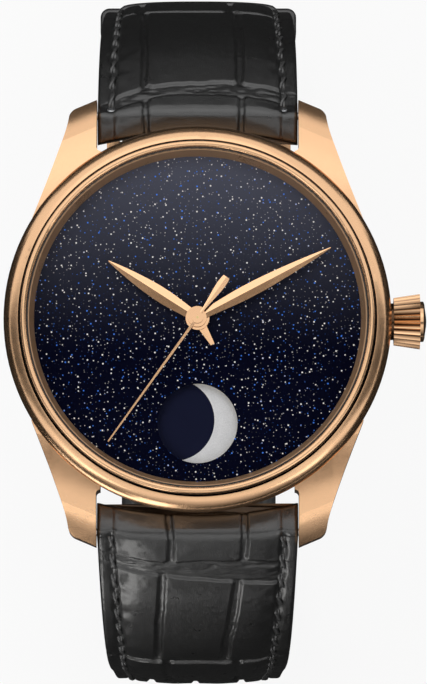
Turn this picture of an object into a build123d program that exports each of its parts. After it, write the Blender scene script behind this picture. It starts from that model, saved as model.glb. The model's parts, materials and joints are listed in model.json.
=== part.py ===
from build123d import *
import math
import os

os.makedirs("parts", exist_ok=True)

# All sizes are millimetres. Heights inside the watch head are counted from its back plane.

# Clearances
running_gap = 0.05
seat_gap = 0.03

# Case
case_radius = 20.4
case_flare_radius = 20.8
case_foot_radius = 19.5
case_bore_radius = 18.6
case_ledge_radius = 16.4
case_low = 1.6
case_ledge_high = 2.6
case_wall_low = 2.6
case_wall_high = 6.4
case_high = 7.4

# Lugs, as plan and side outlines of the lug at one o'clock
lug_gap = 22.0
lug_tip = 24.4
lug_end_x = 13.3
lug_end_y = 23.43
lug_corner_x = 13.82
lug_corner_y = 22.98
lug_side_x = 14.05
lug_side_y = 22.3
lug_hip_x = 14.38
lug_hip_y = 20.8
lug_waist_x = 15.0
lug_waist_y = 18.9
lug_thigh_x = 15.85
lug_thigh_y = 16.5
lug_root_x = 18.0
lug_root_y = 10.9
lug_inner_y = 12.0
lug_web = 0.45
lug_web_y = 18.9
lug_web_share = 0.7
lug_top = 7.3
lug_bottom = 2.0
lug_brow_y = 21.2
lug_brow_height = 6.2
lug_crest_y = 17.0
lug_crest_height = 7.1
lug_tip_top = 4.2
lug_tip_bottom = 1.1
lug_chin_y = 23.3
lug_heel_y = 19.6
lug_chin_height = 0.6
lug_round = 0.28

# Spring bars
bar_y = 22.8
bar_height = 2.8
bar_radius = 0.9
bar_tip_radius = 0.4
bar_tip_reach = 1.1
bar_end_gap = 0.2

# Back
back_radius = 19.3
back_edge = 0.4
window_radius = 15.2
window_seat_radius = 15.9
window_lip = 0.35
window_thickness = 0.8
back_screw_circle = 17.4
back_screw_count = 6
back_screw_head_radius = 0.8
back_screw_head_depth = 0.5
back_screw_radius = 0.5
back_screw_reach = 2.4
screw_slot_width = 0.22
screw_slot_depth = 0.2

# Bezel
bezel_bore = 18.45
bezel_radius = 21.0
bezel_foot_radius = 20.75
bezel_foot = 0.3
bezel_edge_height = 8.0
bezel_brow_radius = 20.5
bezel_brow_height = 8.78
bezel_band_radius = 19.42
bezel_band_height = 9.3
bezel_groove_radius = 19.28
bezel_groove_height = 9.15
bezel_ridge_outer = 19.2
bezel_ridge_foot = 9.85
bezel_ridge_radius = 18.84
bezel_ridge_height = 10.42
bezel_lip_height = 10.1

# Crystal and flange
crystal_radius = 18.32
crystal_low = 9.75
crystal_edge_high = 10.35
crystal_hollow_height = 10.8
crystal_top = 12.0
crystal_gasket_high = 10.08
flange_inner = 17.7
flange_inner_top = 18.2
flange_high = 9.7

# Dial
dial_radius = 18.3
dial_low = 7.5
dial_high = 8.0
dial_base_low = 7.1
dial_hole_radius = 1.2
dial_foot_circle = 17.5
dial_foot_radius = 0.4
dial_foot_low = 5.6
dial_foot_angles = (35.0, 155.0, 275.0)
aperture_y = -11.36
aperture_radius = 4.33
aperture_base_radius = 4.5

# Casing ring
casing_inner = 16.6
casing_outer = 18.55
casing_low = 2.65

# Moon disc
moon_low = 6.7
moon_high = 7.0
moon_radius = 16.1
moon_bore = 1.1
moon_ring_inner = 7.3
moon_circle = 11.24
moon_inlay_radius = 4.44
moon_inlay_depth = 0.12
moon_inlay_angle = -103.4
moon_inlay_count = 3

# Hands, angles counted clockwise from twelve
hour_angle = 302.75
minute_angle = 62.2
seconds_angle = 215.6
day_night_angle = 149.9
day_night_hand_low = 8.2
day_night_hand_high = 8.38
day_night_hub = 1.26
day_night_length = 3.27
day_night_width = 1.15
day_night_tip = 0.45
hour_hand_low = 8.55
hour_hand_high = 8.8
hour_hub = 1.29
hour_length = 11.46
hour_root_width = 1.0
hour_width = 1.62
hour_tip = 0.12
minute_hand_low = 9.0
minute_hand_high = 9.25
minute_hub = 0.99
minute_length = 16.3
minute_root_width = 0.8
minute_width = 1.5
minute_tip = 0.1
seconds_hand_low = 9.4
seconds_hand_high = 9.58
seconds_hub = 0.63
seconds_length = 16.56
seconds_root_width = 0.3
seconds_tip = 0.16
tail_length = 5.4
tail_root_width = 0.3
tail_width = 0.93
tail_end_width = 0.5
hand_edge = 0.07
leaf_shares = (0.0, 0.12, 0.35, 0.6, 0.82, 1.0)
leaf_fullness = (0.0, 0.45, 1.0, 0.82, 0.42, 0.0)
tail_shares = (0.0, 0.3, 0.55, 0.8, 1.0)
tail_fullness = (0.0, 0.05, 0.55, 1.0, 0.6)

# Pipes and arbors at the centre
seconds_arbor = 0.15
cannon_bore = 0.2
cannon_outer = 0.45
hour_pipe_bore = 0.5
hour_pipe_outer = 0.75
day_night_pipe_bore = 0.8
day_night_pipe_outer = 1.05

# Main plate, levels of the dial-side wheels and of the train
plate_radius = 16.5
plate_low = 4.15
plate_high = 5.25
level_a_low = 5.35
level_a_high = 5.6
level_b_low = 5.7
level_b_high = 5.95
level_c_low = 6.05
level_c_high = 6.3
level_d_low = 6.4
level_d_high = 6.6
bridge_low = 2.1
bridge_high = 2.85
bridge_radius = 16.2
bridge_wall_inner = 14.3
stud_radius = 0.25
stud_proud = 0.04
arbor_radius = 0.2
jewel_radius = 0.6
pivot_inset = 0.05

# Tooth form, as shares of the pitch and of the module
tooth_tip_share = 0.11
tooth_root_share = 0.28
addendum_share = 0.85
dedendum_share = 1.2

# Motion work
motion_centre = 3.6
cannon_teeth = 12
minute_teeth = 36
minute_pinion_teeth = 10
hour_teeth = 40
hour_small_teeth = 30
day_teeth = 60
day_small_teeth = 30
day_night_teeth = 30
setting_teeth = 39
friction_teeth = 12
day_centre = 4.5
day_angle = 215.0
day_pinion_teeth = 16
moon_first_teeth = 45
moon_first_pinion_teeth = 10
moon_second_teeth = 21
moon_second_pinion_teeth = 8
moon_teeth = 120
moon_first_module = 0.15
moon_second_module = 0.246
moon_module = 0.14
moon_reach = 6.3

# Going train
barrel_x = 3.5
barrel_y = 8.0
second_x = -2.0
second_y = 6.0
third_x = -4.5116
third_y = 1.2254
escape_x = 1.76
escape_y = -3.0485
balance_x = 2.6
balance_y = -8.0
barrel_teeth = 80
barrel_module = 0.13
second_pinion_teeth = 10
second_teeth = 80
second_module = 0.12
third_pinion_teeth = 10
third_teeth = 75
third_module = 0.11
fourth_pinion_teeth = 10
fourth_teeth = 80
fourth_module = 0.08
escape_pinion_teeth = 8
escape_teeth = 15
escape_radius = 2.0
escape_root = 1.5
escape_lean = 13.0
barrel_low = 2.95
barrel_rim_low = 3.5
barrel_high = 3.75
barrel_drum_radius = 4.95
barrel_inner_radius = 4.6
barrel_skin = 0.12
barrel_core_radius = 1.3
barrel_arbor_radius = 0.6
second_low = 3.85
second_high = 4.05
third_low = 3.45
third_high = 3.65
fourth_low = 3.05
fourth_high = 3.25
rim_share = 0.84
hub_share = 0.24
spoke_width = 0.4

# Balance and escapement
balance_radius = 4.2
balance_inner = 3.7
balance_low = 2.7
balance_high = 3.05
balance_room = 4.5
balance_arm_width = 0.5
balance_hub = 0.55
balance_arbor = 0.12
roller_radius = 0.5
roller_low = 3.4
roller_high = 3.6
hairspring_low = 2.42
hairspring_high = 2.58
hairspring_inner = 0.62
hairspring_pitch = 0.24
hairspring_thickness = 0.05
hairspring_half_turns = 14
pallet_offset = 2.55
pallet_width = 0.24
pallet_stone_circle = 2.27
pallet_stone_angle = 31.0
pallet_fork_reach = 1.7
pallet_bridge_low = 3.14
pallet_bridge_high = 3.38
pallet_bridge_half = 0.55
pallet_bridge_reach = 2.9
cock_low = 1.8
cock_high = 2.3
cock_half = 1.15
cock_foot_x = 5.2
cock_foot_y = -14.1

# Winding work
ratchet_low = 1.7
ratchet_high = 2.0
ratchet_teeth = 52
crown_wheel_teeth = 48
winding_module = 0.2
crown_wheel_x = 9.5
crown_wheel_y = 0.0
crown_hub_outer = 2.2
crown_hub_inner = 1.75
crown_hub_low = 3.45
contrate_teeth = 24
contrate_depth = 0.25
click_x = -2.3
click_y = 11.4
click_half = 0.4
click_length = 2.2
stem_height = 4.7
stem_radius = 0.45
stem_inner_x = 7.7
stem_outer_x = 24.2
winding_pinion_low_x = 11.1
winding_pinion_high_x = 11.9
winding_pinion_teeth = 12
winding_pinion_module = 0.18
clutch_low_x = 9.4
clutch_high_x = 11.0
clutch_radius = 1.05
clutch_waist_radius = 0.75
clutch_flange = 0.45
keyless_end_x = 14.0
keyless_half = 1.4
stem_slot_half = 0.6
setting_lever_x = 13.3
setting_lever_y = 2.6
setting_lever_reach = 2.0
setting_lever_half = 0.32
setting_lever_low = 5.3
setting_lever_high = 5.55

# Crown
tube_radius = 1.2
tube_inner_x = 18.65
tube_outer_x = 23.35
crown_neck_x = 20.95
crown_body_x = 21.3
crown_body_end_x = 24.15
crown_ring_x = 24.5
crown_top_x = 24.86
crown_neck_radius = 2.0
crown_small_radius = 2.6
crown_large_radius = 3.03
crown_ring_radius = 2.2
crown_flutes = 26
crown_flute_depth = 0.32
crown_shoulder_share = 0.72
crown_bore_radius = 1.28
crown_bore_end_x = 23.5
crown_gasket_radius = 1.7
crown_gasket_low_x = 21.5
crown_gasket_high_x = 22.0

# Strap
strap_upper_leave_angle = 33.2
strap_lower_leave_angle = 36.5
strap_side_radius = 33.07
strap_drop = 54.3894
strap_foot_radius = 16.0
strap_lug_width = 21.7
strap_end_width = 18.0
strap_width_taper = 56.0
strap_upper_taper_power = 2
strap_lower_taper_power = 1
strap_lug_half = 1.9
strap_end_half = 1.15
strap_pad_taper = 46.0
strap_crown_rise = 1.05
strap_edge_least = 0.9
strap_lower_length = 100.0
strap_upper_length = 64.0
strap_hollow_radius = 42.0
strap_nose_radius = 1.6
strap_end_reach = 3.5
strap_end_low = 1.2
strap_section_step = 2.4
strap_tip_radius = 9.0
strap_hole_radius = 0.9
strap_hole_pitch = 6.5
strap_hole_count = 6
strap_hole_first = 3.25

# Keepers
keeper_length = 5.0
keeper_wall = 1.2
keeper_gap = 0.3
keeper_fixed_at = 49.4
keeper_free_at = 37.4

# Buckle
buckle_bar_radius = 0.7
buckle_nose_radius = 1.3
buckle_length = 9.6
buckle_front_radius = 1.05
buckle_side_width = 1.5
buckle_side_half = 0.85
buckle_side_gap = 0.3
buckle_back = 1.3
tongue_width = 1.7
tongue_half = 0.35
tongue_slot_half = 1.15
tongue_slot_back = 3.2
tongue_overhang = 1.0

# Derived places
centre = (0.0, 0.0)
barrel_at = (barrel_x, barrel_y)
second_at = (second_x, second_y)
third_at = (third_x, third_y)
escape_at = (escape_x, escape_y)
balance_at = (balance_x, balance_y)
crown_wheel_at = (crown_wheel_x, crown_wheel_y)
minute_module = 2 * motion_centre / (cannon_teeth + minute_teeth)
hour_module = 2 * motion_centre / (minute_pinion_teeth + hour_teeth)
day_module = 2 * day_centre / (hour_small_teeth + day_teeth)
day_night_module = 2 * day_centre / (day_small_teeth + day_night_teeth)


def bearing(start, end):
    return math.degrees(math.atan2(end[1] - start[1], end[0] - start[0]))


def polar(radius, angle, about=centre):
    turn = math.radians(angle)
    return (about[0] + radius * math.cos(turn), about[1] + radius * math.sin(turn))


def span(start, end):
    return math.hypot(end[0] - start[0], end[1] - start[1])


def crossing(first, first_radius, second, second_radius, side):
    """Where circles about two points cross, on the chosen side of the line between them."""
    apart = span(first, second)
    along = (apart**2 + first_radius**2 - second_radius**2) / (2 * apart)
    off = math.sqrt(first_radius**2 - along**2)
    foot = polar(along, bearing(first, second), first)
    return polar(off, bearing(first, second) + side * 90, foot)


minute_at = crossing(centre, motion_centre, second_at, motion_centre, -1)
setting_reach = minute_module * (minute_teeth + setting_teeth) / 2
setting_at = (minute_at[0] + math.sqrt(setting_reach**2 - minute_at[1] ** 2), 0.0)
day_at = polar(day_centre, day_angle)
moon_pinion_circle = moon_module * (moon_teeth + moon_second_pinion_teeth) / 2
moon_second_at = crossing(centre, moon_pinion_circle, day_at, moon_reach, 1)
moon_first_at = crossing(
    day_at,
    moon_first_module * (day_pinion_teeth + moon_first_teeth) / 2,
    moon_second_at,
    moon_second_module * (moon_first_pinion_teeth + moon_second_teeth) / 2,
    -1,
)
pallet_at = polar(pallet_offset, bearing(escape_at, balance_at), escape_at)
back_height = strap_drop + strap_end_half - bar_height

# Plain shapes


def disc(radius, low, high, at=centre):
    solid = Cylinder(radius, high - low, align=(Align.CENTER, Align.CENTER, Align.MIN))
    return Pos(at[0], at[1], low) * solid


def ring(inner, outer, low, high, at=centre):
    return disc(outer, low, high, at) - disc(inner, low, high, at)


def rod(radius, low_x, high_x, y=0.0, z=0.0):
    solid = Cylinder(radius, high_x - low_x, align=(Align.CENTER, Align.CENTER, Align.MIN))
    return Pos(low_x, y, z) * Rot(0, 90, 0) * solid


def slab(points, low, high):
    face = make_face(Polyline(*points, close=True))
    return Pos(0, 0, low) * extrude(face, amount=high - low)


def block(low_corner, high_corner):
    sizes = [high - low for low, high in zip(low_corner, high_corner)]
    solid = Box(*sizes, align=(Align.MIN, Align.MIN, Align.MIN))
    return Pos(*low_corner) * solid


def turned(points):
    """A polygon of (radius, height) points turned about the vertical axis."""
    face = make_face(Polyline(*[(radius, 0, height) for radius, height in points], close=True))
    return revolve(face, Axis.Z)


def link(start, end, half, low, high):
    """A flat bar with round ends between two points."""
    long = span(start, end)
    angle = bearing(start, end)
    middle = Pos(start[0], start[1], low) * Rot(0, 0, angle)
    bar = middle * block((0, -half, 0), (long, half, high - low))
    return bar + disc(half, low, high, start) + disc(half, low, high, end)


def half_ring(radius, thickness, low, high, x, upper):
    """Half of a thin ring about a point on the x axis."""
    whole = ring(radius - thickness / 2, radius + thickness / 2, low, high, (x, 0.0))
    room = 2 * radius
    if upper:
        keep = block((x - room, 0, low), (x + room, room, high))
    else:
        keep = block((x - room, -room, low), (x + room, 0, high))
    return whole & keep


def spiral(inner, pitch, half_turns, thickness, low, high):
    """A flat coil of half rings, each half a pitch wider than the one before."""
    coil = half_ring(inner, thickness, low, high, 0, True)
    for turn in range(1, half_turns):
        shift = pitch / 2 if turn % 2 else 0
        radius = inner + turn * pitch / 2
        coil = coil + half_ring(radius, thickness, low, high, shift, turn % 2 == 0)
    return coil


# Toothed wheels


def meshing(phase, teeth, other_teeth, angle):
    """The phase that sets a wheel's gap on the tooth of the wheel it meshes with."""
    turned_by = phase - angle
    return angle + 180 + 180 / other_teeth - turned_by * teeth / other_teeth


def toothed(teeth, module, low, high, at=centre, phase=0.0):
    pitch = 360 / teeth
    tip = module * (teeth / 2 + addendum_share)
    root = module * (teeth / 2 - dedendum_share)
    points = []
    for number in range(teeth):
        middle = phase + number * pitch
        points.append(polar(root, middle - tooth_root_share * pitch, at))
        points.append(polar(tip, middle - tooth_tip_share * pitch, at))
        points.append(polar(tip, middle + tooth_tip_share * pitch, at))
        points.append(polar(root, middle + tooth_root_share * pitch, at))
    return slab(points, low, high)


def spoked(teeth, module, low, high, at, phase=0.0, spokes=4):
    """A toothed wheel with a thin rim, spokes and a hub."""
    radius = module * teeth / 2
    wheel = toothed(teeth, module, low, high, at, phase)
    wheel = wheel - disc(radius * rim_share, low, high, at)
    wheel = wheel + disc(radius * hub_share, low, high, at)
    for number in range(spokes):
        end = polar(radius * (1 + rim_share) / 2, number * 360 / spokes, at)
        arm = link(at, end, spoke_width / 2, low, high)
        wheel = wheel + arm
    return wheel


# Case, back and bezel


def lug():
    inner = lug_gap / 2
    web = inner - lug_web
    side_start = (lug_side_x, lug_side_y)
    plan = make_face(
        [
            Line((web, lug_inner_y), (web, lug_web_y - lug_web)),
            ThreePointArc(
                (web, lug_web_y - lug_web),
                (web + lug_web * lug_web_share, lug_web_y - lug_web * lug_web_share),
                (inner, lug_web_y),
            ),
            Line((inner, lug_web_y), (inner, lug_tip)),
            Line((inner, lug_tip), (lug_end_x, lug_end_y)),
            ThreePointArc((lug_end_x, lug_end_y), (lug_corner_x, lug_corner_y), side_start),
            Spline(
                side_start,
                (lug_hip_x, lug_hip_y),
                (lug_waist_x, lug_waist_y),
                (lug_thigh_x, lug_thigh_y),
                (lug_root_x, lug_root_y),
            ),
            Line((lug_root_x, lug_root_y), (web, lug_inner_y)),
        ]
    )
    column = extrude(plan, amount=lug_top)
    side = make_face(
        [
            Spline(
                (inner, lug_root_y, lug_top),
                (inner, lug_crest_y, lug_crest_height),
                (inner, lug_brow_y, lug_brow_height),
            ),
            Spline(
                (inner, lug_brow_y, lug_brow_height),
                (inner, (lug_brow_y + lug_tip) / 2, (lug_brow_height * 3 + lug_tip_top * 2) / 5),
                (inner, lug_tip, lug_tip_top),
            ),
            Line((inner, lug_tip, lug_tip_top), (inner, lug_tip, lug_tip_bottom)),
            Line((inner, lug_tip, lug_tip_bottom), (inner, lug_chin_y, lug_chin_height)),
            Line((inner, lug_chin_y, lug_chin_height), (inner, lug_heel_y, lug_bottom)),
            Line((inner, lug_heel_y, lug_bottom), (inner, lug_inner_y / 2, lug_bottom)),
            Line((inner, lug_inner_y / 2, lug_bottom), (inner, lug_inner_y / 2, lug_top)),
            Line((inner, lug_inner_y / 2, lug_top), (inner, lug_root_y, lug_top)),
        ]
    )
    slant = (lug_end_x - inner, lug_end_y - lug_tip, 0)
    back = (inner - lug_end_x, lug_tip - lug_end_y, 0)
    wall = extrude(side, amount=lug_root_x, dir=slant) + extrude(side, amount=2 * lug_web, dir=back)
    return column & wall


def case_middle():
    body = turned(
        [
            (0, case_low),
            (case_foot_radius, case_low),
            (case_radius, case_wall_low),
            (case_radius, case_wall_high),
            (case_flare_radius, case_high),
            (0, case_high),
        ]
    )
    corner = lug()
    other = mirror(corner, Plane.YZ)
    for piece in (corner, other, mirror(corner, Plane.XZ), mirror(other, Plane.XZ)):
        body = body + piece
    body = body - disc(case_ledge_radius, case_low, case_high)
    body = body - disc(case_bore_radius, case_ledge_high, case_high)
    body = body - rod(tube_radius, case_ledge_radius, case_flare_radius, 0, stem_height)
    reach = lug_gap / 2 + bar_tip_reach + bar_end_gap
    for side in (-1, 1):
        body = body - rod(bar_tip_radius + seat_gap, -reach, reach, side * bar_y, bar_height)
    for angle in back_screw_angles():
        at = polar(back_screw_circle, angle)
        body = body - disc(back_screw_radius, case_low, back_screw_reach, at)
    return body


def back_screw_angles():
    return [(number + 0.5) * 360 / back_screw_count for number in range(back_screw_count)]


def case_back_ring():
    body = turned(
        [
            (window_radius, 0),
            (back_radius - back_edge, 0),
            (back_radius, back_edge),
            (back_radius, case_low),
            (window_seat_radius, case_low),
            (window_seat_radius, window_lip),
            (window_radius, window_lip),
        ]
    )
    for angle in back_screw_angles():
        at = polar(back_screw_circle, angle)
        body = body - disc(back_screw_head_radius + seat_gap, 0, back_screw_head_depth, at)
        body = body - disc(back_screw_radius, 0, case_low, at)
    return body


def slotted_head(radius, low, high, at, angle, slot_from_below=True):
    head = disc(radius, low, high, at)
    slot_low = low if slot_from_below else high - screw_slot_depth
    half = screw_slot_width / 2
    slot = block((-radius, -half, 0), (radius, half, screw_slot_depth))
    return head - Pos(at[0], at[1], slot_low) * Rot(0, 0, angle) * slot


def case_back_screws():
    screws = []
    for angle in back_screw_angles():
        at = polar(back_screw_circle, angle)
        head = slotted_head(back_screw_head_radius, 0, back_screw_head_depth, at, angle * 2)
        screws.append(head + disc(back_screw_radius, back_screw_head_depth, back_screw_reach, at))
    return screws


def bezel():
    foot = case_high
    face = make_face(
        [
            Line((bezel_bore, 0, foot), (bezel_foot_radius, 0, foot)),
            Line((bezel_foot_radius, 0, foot), (bezel_radius, 0, foot + bezel_foot)),
            Line((bezel_radius, 0, foot + bezel_foot), (bezel_radius, 0, bezel_edge_height)),
            ThreePointArc(
                (bezel_radius, 0, bezel_edge_height),
                (bezel_brow_radius, 0, bezel_brow_height),
                (bezel_band_radius, 0, bezel_band_height),
            ),
            Line(
                (bezel_band_radius, 0, bezel_band_height),
                (bezel_groove_radius, 0, bezel_groove_height),
            ),
            Line(
                (bezel_groove_radius, 0, bezel_groove_height),
                (bezel_ridge_outer, 0, bezel_ridge_foot),
            ),
            ThreePointArc(
                (bezel_ridge_outer, 0, bezel_ridge_foot),
                (bezel_ridge_radius, 0, bezel_ridge_height),
                (bezel_bore, 0, bezel_lip_height),
            ),
            Line((bezel_bore, 0, bezel_lip_height), (bezel_bore, 0, foot)),
        ]
    )
    return revolve(face, Axis.Z)


def cap_height(radius, rise, out):
    """Height above its rim of a round cap, at a distance out from its middle."""
    ball = (radius**2 + rise**2) / (2 * rise)
    return math.sqrt(ball**2 - out**2) - (ball - rise)


def crystal():
    half = crystal_radius / 2
    rim = (crystal_radius, 0, crystal_low)
    edge = (crystal_radius, 0, crystal_edge_high)
    hollow = crystal_low + cap_height(crystal_radius, crystal_hollow_height - crystal_low, half)
    dome = crystal_edge_high + cap_height(crystal_radius, crystal_top - crystal_edge_high, half)
    face = make_face(
        [
            ThreePointArc((0, 0, crystal_hollow_height), (half, 0, hollow), rim),
            Line(rim, edge),
            ThreePointArc(edge, (half, 0, dome), (0, 0, crystal_top)),
            Line((0, 0, crystal_top), (0, 0, crystal_hollow_height)),
        ]
    )
    return revolve(face, Axis.Z)


def flange_ring():
    outer = bezel_bore - seat_gap
    return turned(
        [
            (flange_inner, dial_high),
            (outer, dial_high),
            (outer, flange_high),
            (flange_inner_top, flange_high),
        ]
    )


def casing_ring():
    body = ring(casing_inner, casing_outer, casing_low, dial_base_low)
    body = body - rod(stem_slot_half, casing_inner - seat_gap, casing_outer, 0, stem_height)
    for angle in dial_foot_angles:
        at = polar(dial_foot_circle, angle)
        body = body - disc(dial_foot_radius + seat_gap, dial_foot_low, dial_base_low, at)
    return body


# Dial, moon and hands


def dial():
    plate = ring(dial_hole_radius, dial_radius, dial_low, dial_high)
    return plate - disc(aperture_radius, dial_low, dial_high, (0, aperture_y))


def dial_base():
    plate = ring(dial_hole_radius, dial_radius, dial_base_low, dial_low)
    plate = plate - disc(aperture_base_radius, dial_base_low, dial_low, (0, aperture_y))
    for angle in dial_foot_angles:
        at = polar(dial_foot_circle, angle)
        plate = plate + disc(dial_foot_radius, dial_foot_low, dial_base_low, at)
    return plate


def inlay_places():
    step = 360 / moon_inlay_count
    return [polar(moon_circle, moon_inlay_angle + number * step) for number in range(moon_inlay_count)]


def moon_disc():
    phase = meshing(0, moon_second_pinion_teeth, moon_teeth, bearing(moon_second_at, centre))
    plate = disc(moon_radius, moon_low, moon_high)
    collar = toothed(moon_teeth, moon_module, level_d_low, moon_low, centre, phase)
    plate = plate + (collar - disc(moon_ring_inner, level_d_low, moon_low))
    plate = plate - disc(moon_bore, moon_low, moon_high)
    for at in inlay_places():
        plate = plate - disc(moon_inlay_radius, moon_high - moon_inlay_depth, moon_high, at)
    return plate


def new_moon_inlays():
    low = moon_high - moon_inlay_depth
    return [disc(moon_inlay_radius, low, moon_high, at) for at in inlay_places()]


def blade(length, root, width, tip, shares, fullness, low, high):
    """A leaf along +Y with a ridge down its middle."""
    sides = []
    for share, full in zip(shares, fullness):
        plain = root + (tip - root) * share
        sides.append(((plain + (width - plain) * full) / 2, length * share))
    left = [(-x, y) for x, y in reversed(sides)]
    outline = make_face(
        [
            Spline(*sides),
            Line(sides[-1], left[0]),
            Spline(*left),
            Line(left[-1], sides[0]),
        ]
    )
    body = extrude(outline, amount=high - low)
    half = width / 2
    roof = make_face(
        Polyline(
            (-half, 0, 0),
            (half, 0, 0),
            (half, 0, hand_edge),
            (0, 0, high - low),
            (-half, 0, hand_edge),
            close=True,
        )
    )
    body = body & extrude(roof, amount=length, dir=(0, 1, 0))
    return Pos(0, 0, low) * body


def on_pipe(shape, hub, bore, low, high, angle):
    shape = shape + disc(hub, low, high)
    return Rot(0, 0, -angle) * (shape - disc(bore, low, high))


def day_night_hand():
    low, high = day_night_hand_low, day_night_hand_high
    shares = (0.0, 1.0)
    body = blade(
        day_night_length, day_night_width, day_night_width, day_night_tip, shares, shares[:1] * 2, low, high
    )
    return on_pipe(body, day_night_hub, day_night_pipe_outer, low, high, day_night_angle)


def hour_hand():
    low, high = hour_hand_low, hour_hand_high
    body = blade(
        hour_length, hour_root_width, hour_width, hour_tip, leaf_shares, leaf_fullness, low, high
    )
    return on_pipe(body, hour_hub, hour_pipe_outer, low, high, hour_angle)


def minute_hand():
    low, high = minute_hand_low, minute_hand_high
    body = blade(
        minute_length, minute_root_width, minute_width, minute_tip, leaf_shares, leaf_fullness, low, high
    )
    return on_pipe(body, minute_hub, cannon_outer, low, high, minute_angle)


def seconds_hand():
    low, high = seconds_hand_low, seconds_hand_high
    shares = (0.0, 1.0)
    needle = blade(
        seconds_length, seconds_root_width, seconds_root_width, seconds_tip, shares, shares[:1] * 2, low, high
    )
    tail = blade(
        tail_length, tail_root_width, tail_width, tail_end_width, tail_shares, tail_fullness, low, high
    )
    body = needle + Rot(0, 0, 180) * tail
    return on_pipe(body, seconds_hub, seconds_arbor, low, high, seconds_angle)


# Wheels under the dial


def cannon_pinion():
    body = toothed(cannon_teeth, minute_module, level_a_low, level_a_high)
    body = body + disc(cannon_outer, level_a_low, minute_hand_high)
    return body - disc(cannon_bore, level_a_low, minute_hand_high)


def minute_phase():
    return meshing(0, cannon_teeth, minute_teeth, bearing(centre, minute_at))


def minute_wheel():
    body = toothed(minute_teeth, minute_module, level_a_low, level_a_high, minute_at, minute_phase())
    body = body + disc(2 * stud_radius, level_a_low, level_b_high, minute_at)
    body = body + toothed(minute_pinion_teeth, hour_module, level_a_high, level_b_high, minute_at)
    return body - disc(stud_radius + running_gap, level_a_low, level_b_high, minute_at)


def setting_wheel():
    phase = meshing(minute_phase(), minute_teeth, setting_teeth, bearing(minute_at, setting_at))
    body = toothed(setting_teeth, minute_module, level_a_low, level_a_high, setting_at, phase)
    return body - disc(stud_radius + running_gap, level_a_low, level_a_high, setting_at)


def friction_pinion():
    phase = meshing(minute_phase(), minute_teeth, friction_teeth, bearing(minute_at, second_at))
    body = toothed(friction_teeth, minute_module, level_a_low, level_a_high, second_at, phase)
    return body - disc(stud_radius + seat_gap, level_a_low, level_a_high, second_at)


def hour_wheel():
    phase = meshing(0, minute_pinion_teeth, hour_teeth, bearing(minute_at, centre))
    body = toothed(hour_teeth, hour_module, level_b_low, level_b_high, centre, phase)
    body = body + toothed(hour_small_teeth, day_module, level_b_high, level_c_high)
    body = body + disc(hour_pipe_outer, level_b_low, hour_hand_high)
    return body - disc(hour_pipe_bore, level_b_low, hour_hand_high)


def day_wheel():
    phase = meshing(0, hour_small_teeth, day_teeth, bearing(centre, day_at))
    body = toothed(day_pinion_teeth, moon_first_module, level_b_low, level_c_low, day_at)
    body = body + toothed(day_teeth, day_module, level_c_low, level_c_high, day_at, phase)
    body = body + toothed(day_small_teeth, day_night_module, level_c_high, level_d_high, day_at)
    return body - disc(stud_radius + running_gap, level_b_low, level_d_high, day_at)


def day_night_wheel():
    phase = meshing(0, day_small_teeth, day_night_teeth, bearing(day_at, centre))
    body = toothed(day_night_teeth, day_night_module, level_d_low, level_d_high, centre, phase)
    body = body + disc(day_night_pipe_outer, level_d_low, day_night_hand_high)
    return body - disc(day_night_pipe_bore, level_d_low, day_night_hand_high)


def moon_wheel_1():
    phase = meshing(0, day_pinion_teeth, moon_first_teeth, bearing(day_at, moon_first_at))
    at = moon_first_at
    body = toothed(moon_first_teeth, moon_first_module, level_b_low, level_b_high, at, phase)
    body = body + toothed(moon_first_pinion_teeth, moon_second_module, level_b_high, level_c_high, at)
    return body - disc(stud_radius + running_gap, level_b_low, level_c_high, at)


def moon_wheel_2():
    phase = meshing(0, moon_first_pinion_teeth, moon_second_teeth, bearing(moon_first_at, moon_second_at))
    at = moon_second_at
    body = toothed(moon_second_teeth, moon_second_module, level_c_low, level_c_high, at, phase)
    body = body + toothed(moon_second_pinion_teeth, moon_module, level_c_high, level_d_high, at)
    return body - disc(stud_radius + running_gap, level_c_low, level_d_high, at)


# Going train


def arbor(at, low, high, radius=arbor_radius):
    return disc(radius, low, high, at)


def train_low():
    return bridge_low + pivot_inset


def train_high():
    return plate_high - pivot_inset


def barrel():
    phase = meshing(0, second_pinion_teeth, barrel_teeth, bearing(second_at, barrel_at))
    body = toothed(barrel_teeth, barrel_module, barrel_rim_low, barrel_high, barrel_at, phase)
    body = body + disc(barrel_drum_radius, barrel_low, barrel_rim_low, barrel_at)
    hollow_low = barrel_low + barrel_skin
    body = body - disc(barrel_inner_radius, hollow_low, barrel_high - barrel_skin, barrel_at)
    return body - disc(barrel_arbor_radius + running_gap, barrel_low, barrel_high, barrel_at)


def barrel_arbor():
    low = barrel_low + 2 * barrel_skin
    high = barrel_high - 2 * barrel_skin
    body = disc(barrel_arbor_radius, ratchet_high, plate_high - pivot_inset, barrel_at)
    return body + disc(barrel_core_radius, low, high, barrel_at)


def second_wheel():
    body = spoked(second_teeth, second_module, second_low, second_high, second_at)
    body = body + toothed(second_pinion_teeth, barrel_module, barrel_low, second_low, second_at)
    body = body + arbor(second_at, train_low(), train_high())
    return body + arbor(second_at, plate_high, level_a_high, stud_radius) + arbor(
        second_at, second_high, plate_high
    )


def third_wheel():
    phase = meshing(0, second_teeth, third_pinion_teeth, bearing(second_at, third_at))
    body = spoked(third_teeth, third_module, third_low, third_high, third_at)
    body = body + toothed(third_pinion_teeth, second_module, third_high, second_high, third_at, phase)
    return body + arbor(third_at, train_low(), train_high())


def fourth_wheel():
    phase = meshing(0, third_teeth, fourth_pinion_teeth, bearing(third_at, centre))
    body = spoked(fourth_teeth, fourth_module, fourth_low, fourth_high, centre)
    body = body + toothed(fourth_pinion_teeth, third_module, fourth_high, barrel_high, centre, phase)
    return body + arbor(centre, train_low(), seconds_hand_high, seconds_arbor)


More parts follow.
